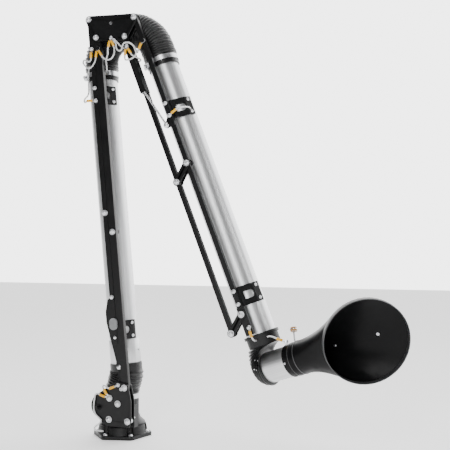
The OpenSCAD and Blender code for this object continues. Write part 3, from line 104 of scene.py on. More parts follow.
def shift(x, y, z):
    return Matrix.Translation((x, y, z))


bar_t, bar_gap, plate_t = 0.013, 0.0003, 0.004
half_t = bar_t / 2
plate_in = half_t + bar_gap
plate_out = plate_in + plate_t
bar_y = -0.056
foot_x, foot_z = 0.017, 0.181
lower_lean, elbow_tilt, outer_lean = 5.4, 2.4, 21.15
hood_turn, hood_tilt, damper_turn = -17.4, 89.6, -23
elbow_top, elbow_inset, elbow_h = 0.1284, 0.0236, 0.0472
lower_len, outer_len, tube_past = 0.892, 0.845, 0.021
lower_tube_x, outer_tube_x = -0.0075, 0.0085
hood_drop, damper_x = 0.0679, 0.074

carrier_foot = Vector((foot_x, bar_y, foot_z))
lower = shift(*carrier_foot) @ turn_y(-lower_lean)
carrier_top = lower @ Vector((0, 0, lower_len))
elbow_dir = turn_y(elbow_tilt)
beam_top = carrier_top + elbow_dir @ Vector((elbow_top, 0, 0))
elbow = shift(*((carrier_top + beam_top) / 2)) @ elbow_dir
outer = shift(*beam_top) @ turn_y(-outer_lean)
rod_top = beam_top + elbow_dir @ Vector((-elbow_inset, 0, -elbow_h))
rod = shift(*rod_top) @ turn_y(-outer_lean)
lower_duct = lower @ shift(lower_tube_x, -bar_y, 0)
outer_duct = outer @ shift(outer_tube_x, -bar_y, 0)
collar = outer_duct @ shift(0, 0, -outer_len - tube_past) @ turn_z(hood_turn)
hood = collar @ shift(0, 0, -hood_drop) @ turn_y(90 - hood_tilt)
damper = hood @ shift(damper_x, 0, 0) @ turn_x(damper_turn)
cheek = shift(0, bar_y, 0)


# ---------------------------------------------------------------- shader maths
class Link:
    """A socket of a material's node, so that maths on it is written as an expression."""

    def __init__(self, paint, socket):
        self.paint, self.socket = paint, socket

    def maths(self, operation, *values):
        return self.paint.node("ShaderNodeMath", {"operation": operation}, dict(enumerate(values)))

    def __add__(self, other):
        return self.maths("ADD", self, other)

    __radd__ = __add__

    def __sub__(self, other):
        return self.maths("SUBTRACT", self, other)

    def __rsub__(self, other):
        return self.maths("SUBTRACT", other, self)

    def __mul__(self, other):
        return self.maths("MULTIPLY", self, other)

    __rmul__ = __mul__

    def kept(self):
        return self.maths("MAXIMUM", self.maths("MINIMUM", self, 1.0), 0.0)

    def wave(self):
        return self.maths("SINE", self)


class Paint:
    """One material and its nodes."""

    def __init__(self, name):
        self.material = bpy.data.materials.new(name)
        self.material.use_nodes = True
        self.tree = self.material.node_tree
        self.tree.nodes.clear()
        self.out = self.tree.nodes.new("ShaderNodeOutputMaterial")
        self.shader = self.tree.nodes.new("ShaderNodeBsdfPrincipled")
        self.tree.links.new(self.shader.outputs[0], self.out.inputs[0])
        self.height = None

    def put(self, socket, value):
        if isinstance(value, Link):
            self.tree.links.new(value.socket, socket)
        else:
            socket.default_value = value

    def node(self, kind, settings, sockets, result=0):
        """Any node: its settings first, then the values or links of its sockets."""
        made = self.tree.nodes.new(kind)
        for key, value in settings.items():
            setattr(made, key, value)
        for key, value in sockets.items():
            self.put(made.inputs[key], value)
        return Link(self, made.outputs[result])

    def place(self, frame_of=None, scale=None):
        """Object coordinates, seen from one of the arm's frames."""
        here = self.node("ShaderNodeTexCoord", {}, {}, "Object")
        if frame_of is not None:
            back = frame_of.inverted()
            here = self.node("ShaderNodeMapping", {"vector_type": "POINT"}, {
                "Vector": here, "Location": back.to_translation(), "Rotation": back.to_euler()})
        if scale is not None:
            here = self.node("ShaderNodeVectorMath", {"operation": "MULTIPLY"}, {0: here, 1: scale})
        return here

    def cloud(self, place, scale, detail=2.0, roughness=0.5, distortion=0.0):
        return self.node("ShaderNodeTexNoise", {"noise_dimensions": "3D"}, {
            "Vector": place, "Scale": scale, "Detail": detail, "Roughness": roughness,
            "Distortion": distortion})

    def blend_tones(self, factor, one, two):
        return self.node("ShaderNodeMix", {"data_type": "RGBA"}, {0: factor, 6: one, 7: two}, 2)

    def bump(self, height, strength, distance):
        self.put(self.shader.inputs["Normal"], self.node("ShaderNodeBump", {}, {
            "Height": height, "Strength": strength, "Distance": distance}))

    def finish(self, **sockets):
        for key, value in sockets.items():
            self.put(self.shader.inputs[key.replace("_", " ")], value)
        return self.material


def grey(value):
    return (value, value, value, 1)


def powder_coat():
    paint = Paint("black_powder_coat")
    here = paint.place()
    peel = paint.cloud(here, 900, 2.0)
    cloud = paint.cloud(here, 22, 3.0)
    rub = paint.cloud(here, 160, 4.0, 0.7)
    wear = ((rub - 0.63) * 9).kept()
    tone = paint.blend_tones(cloud, (0.0022, 0.0022, 0.0024, 1), (0.005, 0.005, 0.0054, 1))
    tone = paint.blend_tones(wear * 0.3, tone, (0.03, 0.03, 0.032, 1))
    paint.bump(peel * 0.8 + rub * 0.2, 0.22, 0.0004)
    return paint.finish(Base_Color=tone, Roughness=0.3 + cloud * 0.16 + wear * 0.12, Metallic=0.0,
                        Specular_IOR_Level=0.28)


def cast_coat():
    paint = Paint("black_cast_coat")
    here = paint.place()
    sand = paint.cloud(here, 520, 4.0, 0.6)
    cloud = paint.cloud(here, 30, 3.0)
    dust_and_glints = ((paint.cloud(here, 1400, 1.0) - 0.7) * 12).kept()
    tone = paint.blend_tones(cloud, (0.0024, 0.0024, 0.0026, 1), (0.0056, 0.0057, 0.006, 1))
    tone = paint.blend_tones(dust_and_glints * 0.35, tone, grey(0.08))
    paint.bump(sand, 0.35, 0.0006)
    return paint.finish(Base_Color=tone, Roughness=0.34 + cloud * 0.18, Metallic=0.0,
                        Specular_IOR_Level=0.3)


def brushed_duct(name, tube_frame):
    """Drawn aluminium: fine streaks and soft bands that run the length of the tube."""
    paint = Paint(name)
    along = paint.place(tube_frame, (1, 1, 0.012))
    fine = paint.cloud(along, 2400, 2.0)
    streak = paint.cloud(along, 420, 3.0, 0.6)
    band = paint.cloud(paint.place(tube_frame, (1, 1, 0.05)), 46, 2.0)
    stain = paint.cloud(paint.place(tube_frame), 14, 4.0, 0.6)
    tone = paint.blend_tones(streak, (0.46, 0.465, 0.475, 1), (0.82, 0.825, 0.83, 1))
    tone = paint.blend_tones(((stain - 0.5) * 1.6).kept() * 0.35, tone, (0.42, 0.425, 0.44, 1))
    paint.bump(fine * 0.7 + streak * 0.3, 0.12, 0.0002)
    return paint.finish(Base_Color=tone, Metallic=1.0,
                        Roughness=0.24 + streak * 0.16 + band * 0.1 + stain * 0.06)


def bright_zinc():
    paint = Paint("bright_zinc_steel")
    here = paint.place()
    cloud = paint.cloud(here, 130, 3.0)
    fine = paint.cloud(here, 1500, 2.0)
    tone = paint.blend_tones(cloud, (0.56, 0.57, 0.59, 1), (0.86, 0.86, 0.87, 1))
    paint.bump(fine, 0.12, 0.0002)
    return paint.finish(Base_Color=tone, Metallic=1.0, Roughness=0.2 + cloud * 0.2)


def spring_steel():
    paint = Paint("spring_steel")
    here = paint.place()
    cloud = paint.cloud(here, 300, 3.0)
    tone = paint.blend_tones(cloud, (0.35, 0.36, 0.38, 1), (0.6, 0.61, 0.62, 1))
    return paint.finish(Base_Color=tone, Metallic=1.0, Roughness=0.25 + cloud * 0.2)


def polished_rod():
    paint = Paint("chromed_rod")
    here = paint.place()
    cloud = paint.cloud(here, 200, 3.0)
    tone = paint.blend_tones(cloud, (0.74, 0.75, 0.77, 1), (0.9, 0.9, 0.91, 1))
    return paint.finish(Base_Color=tone, Metallic=1.0, Roughness=0.07 + cloud * 0.1)


def hose_rubber():
    paint = Paint("wrinkled_hose_rubber")
    here = paint.place()
    crease = paint.cloud(here, 95, 5.0, 0.6, 0.8)
    grain = paint.cloud(here, 900, 3.0)
    # light grey specks painted into the rubber's colour: painted highlight glints on the wrinkles
    dust_and_glints = ((paint.cloud(here, 1100, 1.5) - 0.66) * 11).kept()
    tone = paint.blend_tones(crease, (0.0015, 0.0015, 0.0016, 1), (0.0045, 0.0045, 0.0048, 1))
    tone = paint.blend_tones(dust_and_glints * 0.3, tone, (0.16, 0.16, 0.165, 1))
    paint.bump(crease * 0.75 + grain * 0.25, 0.55, 0.0016)
    return paint.finish(Base_Color=tone, Roughness=0.2 + crease * 0.2, Metallic=0.0,
                        Specular_IOR_Level=0.4)


def pad_rubber():
    paint = Paint("grey_pad_rubber")
    here = paint.place()
    grain = paint.cloud(here, 1200, 3.0)
    cloud = paint.cloud(here, 90, 3.0)
    tone = paint.blend_tones(cloud, (0.16, 0.163, 0.17, 1), (0.27, 0.272, 0.28, 1))
    paint.bump(grain, 0.3, 0.0003)
    return paint.finish(Base_Color=tone, Roughness=0.6 + grain * 0.2, Metallic=0.0)


def hood_shell():
    paint = Paint("black_hood_shell")
    here = paint.place()
    peel = paint.cloud(here, 260, 2.0)
    cloud = paint.cloud(here, 12, 3.0)
    dust_and_glints = ((paint.cloud(here, 900, 1.0) - 0.72) * 14).kept()
    tone = paint.blend_tones(cloud, (0.0025, 0.0025, 0.0027, 1), (0.005, 0.005, 0.0054, 1))
    tone = paint.blend_tones(dust_and_glints * 0.25, tone, grey(0.06))
    paint.bump(peel, 0.1, 0.0006)
    return paint.finish(Base_Color=tone, Roughness=0.24 + cloud * 0.1 + peel * 0.05, Metallic=0.0,
                        Specular_IOR_Level=0.1)


def satin_plastic(name, dark, light, rough):
    paint = Paint(name)
    here = paint.place()
    cloud = paint.cloud(here, 60, 3.0)
    grain = paint.cloud(here, 1100, 2.0)
    paint.bump(grain, 0.15, 0.0003)
    return paint.finish(Base_Color=paint.blend_tones(cloud, dark, light),
                        Roughness=rough + cloud * 0.12, Metallic=0.0)


def amber_knob():
    paint = Paint("amber_knob")
    here = paint.place()
    cloud = paint.cloud(here, 110, 3.0)
    tone = paint.blend_tones(cloud, (0.36, 0.14, 0.006, 1), (0.55, 0.26, 0.02, 1))
    return paint.finish(Base_Color=tone, Roughness=0.22 + cloud * 0.15, Metallic=0.0,
                        Coat_Weight=0.5)


def braided_wire():
    """Bright tinned braid that follows the wire's own coordinates."""
    paint = Paint("tinned_braid")
    skin = paint.node("ShaderNodeUVMap", {"uv_map": "skin"}, {})
    u = paint.node("ShaderNodeSeparateXYZ", {}, {0: skin}, "X")
    v = paint.node("ShaderNodeSeparateXYZ", {}, {0: skin}, "Y")
    one = ((u * 6 + v * 520) * tau).wave()
    two = ((u * 6 - v * 520) * tau).wave()
    weave = one.maths("MAXIMUM", one, two)
    tone = paint.blend_tones(((weave + 1) * 0.5).kept(), (0.42, 0.43, 0.44, 1), (0.9, 0.9, 0.9, 1))
    paint.bump(weave, 0.5, 0.0003)
    return paint.finish(Base_Color=tone, Roughness=0.38 - weave * 0.06, Metallic=0.55)


def yellow_vinyl():
    paint = Paint("yellow_vinyl")
    here = paint.place()
    cloud = paint.cloud(here, 260, 3.0)
    tone = paint.blend_tones(cloud, (0.72, 0.34, 0.002, 1), (0.9, 0.48, 0.004, 1))
    paint.bump(cloud, 0.15, 0.0003)
    return paint.finish(Base_Color=tone, Roughness=0.26 + cloud * 0.15, Metallic=0.0, Coat_Weight=0.2)


def floor_paint():
    paint = Paint("pale_floor")
    cloud = paint.cloud(paint.place(), 3, 3.0)
    tone = paint.blend_tones(cloud, grey(0.92), grey(0.95))
    return paint.finish(Base_Color=tone, Roughness=0.8, Metallic=0.0, Emission_Color=tone,
                        Emission_Strength=0.55)


coat = powder_coat()
cast = cast_coat()
zinc = bright_zinc()
coil = spring_steel()
chrome = polished_rod()
hose = hose_rubber()
pad = pad_rubber()
shell = hood_shell()
rim_grey = satin_plastic("grey_rim_plastic", (0.035, 0.036, 0.038, 1), (0.07, 0.072, 0.075, 1), 0.35)
ring_dark = satin_plastic("dark_slide_ring", (0.02, 0.02, 0.021, 1), (0.045, 0.045, 0.046, 1), 0.5)
amber = amber_knob()
braid = braided_wire()
yellow = yellow_vinyl()
lower_aluminium = brushed_duct("lower_duct_aluminium", lower_duct)
outer_aluminium = brushed_duct("outer_duct_aluminium", outer_duct)
hood_axis = hood @ turn_y(90)
neck_aluminium = brushed_duct("neck_duct_aluminium", hood_axis)

# ---------------------------------------------------------------- CAD nodes that stay
node_paint = {
    "mounting_flange": cast, "turret_housing": cast, "front_cheek": coat, "rear_cheek": coat,
    "spring_drum": coat, "carrier_bar": coat, "carrier_root_plate": coat, "strut_bar": coat,
    "lower_brackets": coat, "lower_link": coat, "elbow_front_plate": coat, "elbow_back_plate": coat,
    "outer_beam": coat, "outer_brackets": coat, "pull_lug": coat, "outer_rod": coat,
    "spring_box": coat, "outer_mid_link": coat, "outer_end_link": coat,
    "hood_swivel_collar": cast, "hood_cuff": shell, "mouth_collar": rim_grey,
    "swivel_ring": ring_dark, "lower_tube": lower_aluminium, "lower_sleeve": lower_aluminium,
    "outer_tube": outer_aluminium, "neck_tube": neck_aluminium, "neck_yoke": zinc,
    "flange_bolts": zinc, "cheek_bolts": zinc, "base_pivot_bolts": zinc,
    "lower_bracket_bolts": zinc, "lower_link_bolts": zinc, "elbow_pivot_bolts": zinc,
    "outer_bracket_bolts": zinc, "box_bolt": zinc, "spring_slider": zinc, "pull_rod": chrome,
    "outer_link_bolts_mid": zinc, "outer_link_bolts_end": zinc, "damper_spindle": zinc,
    "damper_knob": amber, "stop_pad": pad, "lower_tube_ring": hose, "outer_tube_ring": hose,
}
edge_round = {
    "mounting_flange": 1.2, "turret_housing": 1.5, "front_cheek": 0.6, "rear_cheek": 0.6,
    "carrier_bar": 0.9, "carrier_root_plate": 0.5, "strut_bar": 1.6, "lower_brackets": 0.4,
    "lower_link": 0.6, "elbow_front_plate": 0.8, "elbow_back_plate": 0.8, "outer_beam": 1.0,
    "outer_brackets": 0.4, "pull_lug": 0.5, "outer_rod": 1.0, "spring_box": 0.3,
    "outer_mid_link": 0.6, "outer_end_link": 0.6, "stop_pad": 1.2, "mouth_collar": 0.4,
    "hood_cuff": 0.5, "hood_swivel_collar": 0.5, "lower_sleeve": 0.4, "damper_knob": 0.8,
    "flange_bolts": 0.25, "cheek_bolts": 0.25, "base_pivot_bolts": 0.25, "lower_bracket_bolts": 0.2,
    "lower_link_bolts": 0.25, "elbow_pivot_bolts": 0.25, "outer_bracket_bolts": 0.2, "box_bolt": 0.2,
    "outer_link_bolts_mid": 0.25, "outer_link_bolts_end": 0.25,
}

weld_gap = 0.00002


def round_edges(piece, width):
    weld = piece.modifiers.new("joined corners", "WELD")
    weld.merge_threshold = weld_gap
    bevel = piece.modifiers.new("rounded edges", "BEVEL")
    bevel.width = width * mm
    bevel.segments = 2
    bevel.limit_method = "ANGLE"
    bevel.angle_limit = radians(34)
    bevel.use_clamp_overlap = True


def dress(piece, material):
    piece.data.materials.clear()
    piece.data.materials.append(material)


for name, material in node_paint.items():
    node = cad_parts[name]
    for slot in node.material_slots:
        slot.link = "OBJECT"
        slot.material = material
    if name in edge_round:
        round_edges(node, edge_round[name])


# ---------------------------------------------------------------- ways of making new pieces
def alone():
    """Nothing selected, in object mode."""
    if bpy.context.object and bpy.context.object.mode != "OBJECT":
        bpy.ops.object.mode_set(mode="OBJECT")
    bpy.ops.object.select_all(action="DESELECT")


def take(name):
    """The object that an operator has just made, named, with its place in its mesh."""
    piece = bpy.context.object
    piece.name = piece.data.name = name
    bpy.ops.object.transform_apply(location=True, rotation=True, scale=True)
    return piece


def shape(name):
    """The same, opened in edit mode."""
    piece = take(name)
    bpy.ops.object.mode_set(mode="EDIT")
    return piece


def close():
    bpy.ops.object.mode_set(mode="OBJECT")


def pick(piece, test):
    """Selects the faces whose centre and normal pass a test, in edit mode."""
    mesh = bmesh.from_edit_mesh(piece.data)
    mesh.select_mode = {"FACE"}
    for face in mesh.faces:
        face.select_set(test(face.calc_center_median(), face.normal))
    mesh.select_flush_mode()
    bmesh.update_edit_mesh(piece.data)


def use(piece, kind, **settings):
    """Adds a modifier and applies it."""
    modifier = piece.modifiers.new(kind.lower(), kind)
    for key, value in settings.items():
        setattr(modifier, key, value)
    bpy.context.view_layer.objects.active = piece
    bpy.ops.object.modifier_apply(modifier=modifier.name)


def choose(piece):
    alone()
    piece.select_set(True)
    bpy.context.view_layer.objects.active = piece


def smooth(piece, degrees=40):
    choose(piece)
    bpy.ops.object.shade_smooth_by_angle(angle=radians(degrees))


def join(whole, *parts):
    choose(whole)
    for part in parts:
        part.select_set(True)
    bpy.ops.object.join()


def finish_piece(piece, material, body):
    dress(piece, material)
    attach(piece, body)


def copy_at(source, name, place, material, body):
    """A copy of a modelled piece with its own mesh, at its place on a body."""
    piece = bpy.data.objects.new(name, source.data.copy())
    bpy.context.scene.collection.objects.link(piece)
    piece.data.transform(place)
    finish_piece(piece, material, body)
    return piece


def merged_copy(node_name, name):
    """A merged copy of a CAD node, in quads where its triangles allow."""
    piece = bpy.data.objects.new(name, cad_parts[node_name].data.copy())
    bpy.context.scene.collection.objects.link(piece)
    choose(piece)
    bpy.ops.object.mode_set(mode="EDIT")
    bpy.ops.mesh.select_all(action="SELECT")
    bpy.ops.mesh.remove_doubles(threshold=weld_gap)
    bpy.ops.mesh.tris_convert_to_quads(face_threshold=radians(40), shape_threshold=radians(60))
    close()
    return piece


def loft(name, rings, closed=False):
    """A skin over rings of points, with the distance round and along kept as its own map."""
    count = len(rings[0])
    points = [point for ring in rings for point in ring]
    faces = []
    for i in range(len(rings) - 1):
        for k in range(count):
            a, b = i * count + k, i * count + (k + 1) % count
            faces.append((a, b, b + count, a + count))
    if closed:
        faces.append(tuple(range(count - 1, -1, -1)))
        faces.append(tuple((len(rings) - 1) * count + k for k in range(count)))
    data = bpy.data.meshes.new(name)
    data.from_pydata(points, [], faces)
    piece = bpy.data.objects.new(name, data)
    bpy.context.scene.collection.objects.link(piece)
    run = [0.0]
    for i in range(1, len(rings)):
        middle = sum(rings[i], Vector()) / count
        before = sum(rings[i - 1], Vector()) / count
        run.append(run[-1] + (middle - before).length)
    skin = data.uv_layers.new(name="skin")
    for polygon in data.polygons:
        for corner in polygon.loop_indices:
            point = data.loops[corner].vertex_index
            ring, k = divmod(point, count)
            u = k / count
            if len(polygon.vertices) == 4 and k == 0 and (polygon.vertices[0] % count) == count - 1:
                u = 1.0
            skin.data[corner].uv = (u, run[ring])
    data.update()
    return piece


def spline(a, b, c, d, t):
    """A point between b and c on the smooth curve through all four."""
    return 0.5 * (2 * b + (c - a) * t + (2 * a - 5 * b + 4 * c - d) * t ** 2
                  + (3 * b - a - 3 * c + d) * t ** 3)


def curve_through(points, step, fineness=12):
    """Points at even steps on a smooth curve through the given ones."""
    points = [Vector(p) for p in points]
    ends = [points[0] * 2 - points[1]] + points + [points[-1] * 2 - points[-2]]
    fine = [spline(*ends[i - 1:i + 3], j / fineness) for i in range(1, len(ends) - 2)
            for j in range(fineness)]
    fine.append(points[-1])
    length = sum((fine[i + 1] - fine[i]).length for i in range(len(fine) - 1))
    count = max(2, round(length / step))
    even, walked, goal = [fine[0]], 0.0, length / count
    for i in range(len(fine) - 1):
        span = (fine[i + 1] - fine[i]).length
        while walked + span >= goal and len(even) < count:
            even.append(fine[i].lerp(fine[i + 1], (goal - walked) / span))
            goal += length / count
        walked += span
    even.append(fine[-1])
    return even


def tube_rings(points, radius, sides):
    """Rings round a path; each ring is the last one turned onto the path's new direction."""
    rings = []
    side = None
    for i, point in enumerate(points):
        ahead = (points[min(i + 1, len(points) - 1)] - points[max(i - 1, 0)]).normalized()
        if side is None:
            side = ahead.cross(Vector((0, 1, 0)))
            side = side if side.length > 0.1 else ahead.cross(Vector((1, 0, 0)))
        side = (side - ahead * side.dot(ahead)).normalized()
        up = ahead.cross(side)
        rings.append([point + (side * cos(tau * k / sides) + up * sin(tau * k / sides)) * radius
                      for k in range(sides)])
    return rings


# ---------------------------------------------------------------- ribbed hoses
hose_valley, hose_crest, hose_wall_r, hose_front = 0.0411, 0.0439, 0.0376, 0.0419
hose_sides, rib_steps, rib_round = 72, 6, 0.8
cuff_run, cuff_wrinkle, rib_wrinkle, boot_wrinkle = 0.02, 0.0001, 0.0007, 0.0006
up_lower = Vector((-sin(radians(lower_lean)), 0, cos(radians(lower_lean))))
up_outer = Vector((-sin(radians(outer_lean)), 0, cos(radians(outer_lean))))


def flat_point(x, z):
    return Vector((x * mm, 0, z * mm))


def bezier(p, t):
    return (p[0] * (1 - t) ** 3 + p[1] * (3 * t * (1 - t) ** 2) + p[2] * (3 * t * t * (1 - t))
            + p[3] * t ** 3)


def wrinkle(point, amount):
    """How far the rubber of a used hose stands off its even shape."""
    slow = noise.noise(point * 42)
    fast = noise.noise(point * 130 + Vector((5, 2, 9)))
    fine = noise.noise(point * 330 + Vector((1, 7, 3)))
    return amount * (0.55 * slow + 0.6 * fast + 0.3 * fine)


def rib(u):
    """Height of the ribs along a hose: nothing in a valley, 1 on a crest."""
    return (0.5 - 0.5 * cos(pi * u)) ** rib_round


def hose_ring(middle, ahead, radius, amount, flat):
    ring = []
    for k in range(hose_sides):
        a = tau * k / hose_sides
        out = Vector((ahead.z * cos(a), sin(a), -ahead.x * cos(a)))
        point = middle + out * radius
        point += out * wrinkle(point, amount)
        if flat:
            point.y = max(-hose_front, point.y)
        ring.append(point)
    return ring


def ribbed_hose(name, path, plain_a, plain_b, end_dir, flat=True):
    """Rings along a path of half ribs: the plain cuffs, then valley and crest by turns."""
    last = len(path) - 1
    first_dir = (path[1] - path[0]).normalized()
    path = [path[0] * 2 - path[1]] + path + [path[-1] * 2 - path[-2]]

    def along(u):
        i = min(int(u), last - 1)
        return spline(*path[i:i + 4], u - i)

    rings = []
    for step in range(last * rib_steps + 1):
        u = step / rib_steps
        middle = along(u)
        ahead = (along(min(u + 0.2, last)) - along(max(u - 0.2, 0))).normalized()
        if u <= plain_a:
            ahead = first_dir
        elif u >= last - plain_b:
            ahead = end_dir
        plain = u <= plain_a or u >= last - plain_b
        crest = 0 if plain else rib(u - plain_a)
        lean = 1 + 0.35 * noise.noise(Vector((u * 0.9, 3.1, 0)))
        radius = hose_valley + (hose_crest - hose_valley) * crest * lean
        rings.append(hose_ring(middle, ahead, radius, cuff_wrinkle if plain else rib_wrinkle, flat))
        if u in (0, last):
            rings.insert(0 if u == 0 else len(rings), hose_ring(middle, ahead, hose_wall_r, 0, False))
    piece = loft(name, rings)
    smooth(piece, 80)
    return piece


bend_r, bend_x, bend_z = 83.2456, 18.8456, 966.353
hose_low_end, hose_out_end = flat_point(-60.888, 925.273), flat_point(114.624, 949.499)
bend_a0, bend_top_a, bend_a1 = 185.4, 95, 21.15
half_overlap = 0.05
half_ribs, low_share, out_share = 42, 4, 9
base_foot, base_head = flat_point(0, 92.3), flat_point(8.96864, 186.268)
base_route = [flat_point(0, 112.3), flat_point(0, 132.3), flat_point(12.733, 146.445),
              flat_point(10.8508, 166.356)]
base_ribs = 16


def arc_point(a):
    return flat_point(bend_x + bend_r * cos(radians(a)), bend_z + bend_r * sin(radians(a)))


def elbow_path(end, up, share, from_a, to_a):
    start = end + up * cuff_run
    tangent = arc_point(from_a)
    return ([end] + [start.lerp(tangent, i / share) for i in range(share)]
            + [arc_point(from_a + (to_a - from_a) * i / (half_ribs - share))
               for i in range(half_ribs - share + 1)])


def finish_hose(piece, node, end):
    dress(piece, hose)
    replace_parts(piece, node)
    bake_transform(piece)


def make_hoses():
    low = ribbed_hose("base_ribbed_hose", [base_foot] + [bezier(base_route, i / base_ribs)
                                                         for i in range(base_ribs + 1)] + [base_head],
                      1, 1, up_lower, False)
    finish_hose(low, "base_hose", base_route[3])

    top_dir = Vector((sin(radians(bend_top_a)), 0, -cos(radians(bend_top_a))))
    rise = ribbed_hose("elbow_hose_lower_half",
                       elbow_path(hose_low_end, up_lower, low_share, bend_a0, bend_top_a), 1, 0, top_dir)
    finish_hose(rise, "elbow_hose_low",
                arc_point(bend_top_a))
    fall = ribbed_hose("elbow_hose_upper_half",
                       elbow_path(hose_out_end, up_outer, out_share, bend_a1, bend_top_a - half_overlap),
                       1, 0, -top_dir)
    finish_hose(fall, "elbow_hose_out",
                hose_out_end + up_outer * cuff_run)


boot_r, boot_folds = 0.0439, 22
boot_mouth_r, boot_mouth_z = 0.0378, -0.0124
boot_outer = [Vector(p) * mm for p in (
    (-43.9, -12.3), (-57, -45), (-58.4194, -109.868), (-8.30628, -111.743))]
boot_inner = [Vector(p) * mm for p in (
    (43.9, -12.3), (19.5, -15), (-13.8255, -7.052), (-7.69333, -23.9452))]


def make_hood_hose():
    """The short boot at the hood: its rings fan out from the inner side of the bend."""
    turns = [tau * k / hose_sides for k in range(hose_sides)]
    rings = [[collar @ Vector((-boot_mouth_r * cos(a), -boot_mouth_r * sin(a), boot_mouth_z))
              for a in turns]]
    for step in range(boot_folds * rib_steps + 1):
        u = step / rib_steps
        o, q = (bezier(side, u / boot_folds) for side in (boot_outer, boot_inner))
        middle, half = (o + q) / 2, (o - q) / 2
        share = 0.93 + 0.07 * rib(u)
        reach, wide, along = half.length * share, boot_r * share, half.normalized()
        ring = []
        for a in turns:
            out = Vector((along.x * cos(a), -sin(a), along.y * cos(a)))
            point = Vector((middle.x + along.x * reach * cos(a), -wide * sin(a),
                            middle.y + along.y * reach * cos(a)))
            ring.append(collar @ (point + out * wrinkle(point, boot_wrinkle)))
        rings.append(ring)
    middle = sum(rings[-1], Vector()) / hose_sides
    rings.append([point.lerp(middle, 0.1) for point in rings[-1]])
    piece = loft("hood_ribbed_boot", rings)
    smooth(piece, 80)
    finish_hose(piece, "hood_hose",
                hood @ Vector((-0.009, 0, 0)))


make_hoses()
make_hood_hose()


# ---------------------------------------------------------------- hose clamps
band_r, band_wide, band_t = 0.0414, 0.012, 0.0009


def make_band_clamp():
    """A worm-drive clamp about the Z axis at the origin, its housing towards -Y."""
    alone()
    bpy.ops.mesh.primitive_cylinder_add(vertices=96, radius=band_r, depth=band_wide,
                                        end_fill_type="NOTHING")
    band = take("band")
    use(band, "SOLIDIFY", thickness=band_t, offset=1.0, use_rim=True)
    bpy.ops.object.mode_set(mode="EDIT")
    pick(band, lambda at, facing: at.y < -0.03 and abs(at.x) < 0.024 and at.xy.length > 0.0419
         and abs(facing.z) < 0.3)
    bpy.ops.mesh.inset(thickness=0.0007, depth=0, use_individual=True)
    bpy.ops.mesh.extrude_region_shrink_fatten(TRANSFORM_OT_shrink_fatten={"value": -0.0003})
    smooth(band, 30)

    alone()
    bpy.ops.mesh.primitive_cube_add(size=1, location=(0, -0.0458, 0), scale=(0.0135, 0.0075, 0.0128))
    housing = shape("band_housing")
    bpy.ops.mesh.select_all(action="SELECT")
    bpy.ops.mesh.bevel(offset=0.0016, segments=3)
    pick(housing, lambda at, facing: facing.y < -0.9)
    bpy.ops.mesh.inset(thickness=0.0012, depth=-0.0004)
    smooth(housing)

    alone()
    bpy.ops.mesh.primitive_cylinder_add(vertices=32, radius=0.0036, depth=0.02,
                                        location=(0.003, -0.0466, 0), rotation=(0, pi / 2, 0))
    screw = shape("band_screw")
    pick(screw, lambda at, facing: abs(facing.x) > 0.9)
    bpy.ops.mesh.inset(thickness=0.0006, depth=-0.0004)
    bpy.ops.mesh.inset(thickness=0.0008, depth=0.0009)
    smooth(screw)
    join(band, screw, housing)
    return band


def make_clamps():
    band = make_band_clamp()
    for name, node, body, where, z, turn in (
            ("base_hose_band", "base_clamp", "turret", Matrix.Identity(4), 0.102, 50),
            ("lower_tube_band", "lower_clamps", "lower_arm", lower_duct, 0.758, -75),
            ("outer_tube_band", "outer_clamp", "outer_arm", outer_duct, -0.116, -60)):
        place = where @ shift(0, 0, z) @ turn_z(turn)
        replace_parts(copy_at(band, name, place, zinc, body), node)
    bpy.data.objects.remove(band)


make_clamps()


# ---------------------------------------------------------------- balance spring
def make_spring():
    turns, coil_r, coil_y, wire, steps = 12, 0.0044, -0.01275, 0.0007, 24
    top, bottom = -0.036 - 2 * wire, -0.062 + 2 * wire
    points = []
    for i in range(turns * steps + 1):
        a = tau * i / steps
        points.append(rod @ Vector((coil_r * cos(a), coil_y + coil_r * sin(a),
                                    top + (bottom - top) * i / (turns * steps))))
    piece = loft("balance_coil", tube_rings(points, wire, 10), closed=True)
    smooth(piece, 60)
    dress(piece, coil)
    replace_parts(piece, "balance_spring")
    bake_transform(piece)


make_spring()


# ---------------------------------------------------------------- hood shell
def make_shell():
    piece = merged_copy("hood_cone", "hood_shell")
    smooth(piece, 50)
    finish_piece(piece, shell, "hood")
    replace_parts(piece, "hood_cone")


make_shell()

# ---------------------------------------------------------------- ground wires
wire_r, wire_step = 0.002, 0.0018
barrel_out, barrel_r, sleeve_r = 0.00365, 0.00235, 0.00325
lug_run, barrel_run, sleeve_run, run_gap = 0.003, 0.006, 0.0145, 0.0003
ring_rim, washer_rim, ring_t = 0.0056, 0.0081, 0.0009
strut_front, plate_seat, bar_seat, box_seat, bracket_seat = -0.0062, -plate_out, -half_t, -0.020, -0.0099


def add_rod(x, y, radius, run, sides):
    """A primitive cylinder along X, centred at a place in the XY plane."""
    bpy.ops.mesh.primitive_cylinder_add(vertices=sides, radius=radius, depth=run, location=(x, y, 0),
                                        rotation=(0, pi / 2, 0))


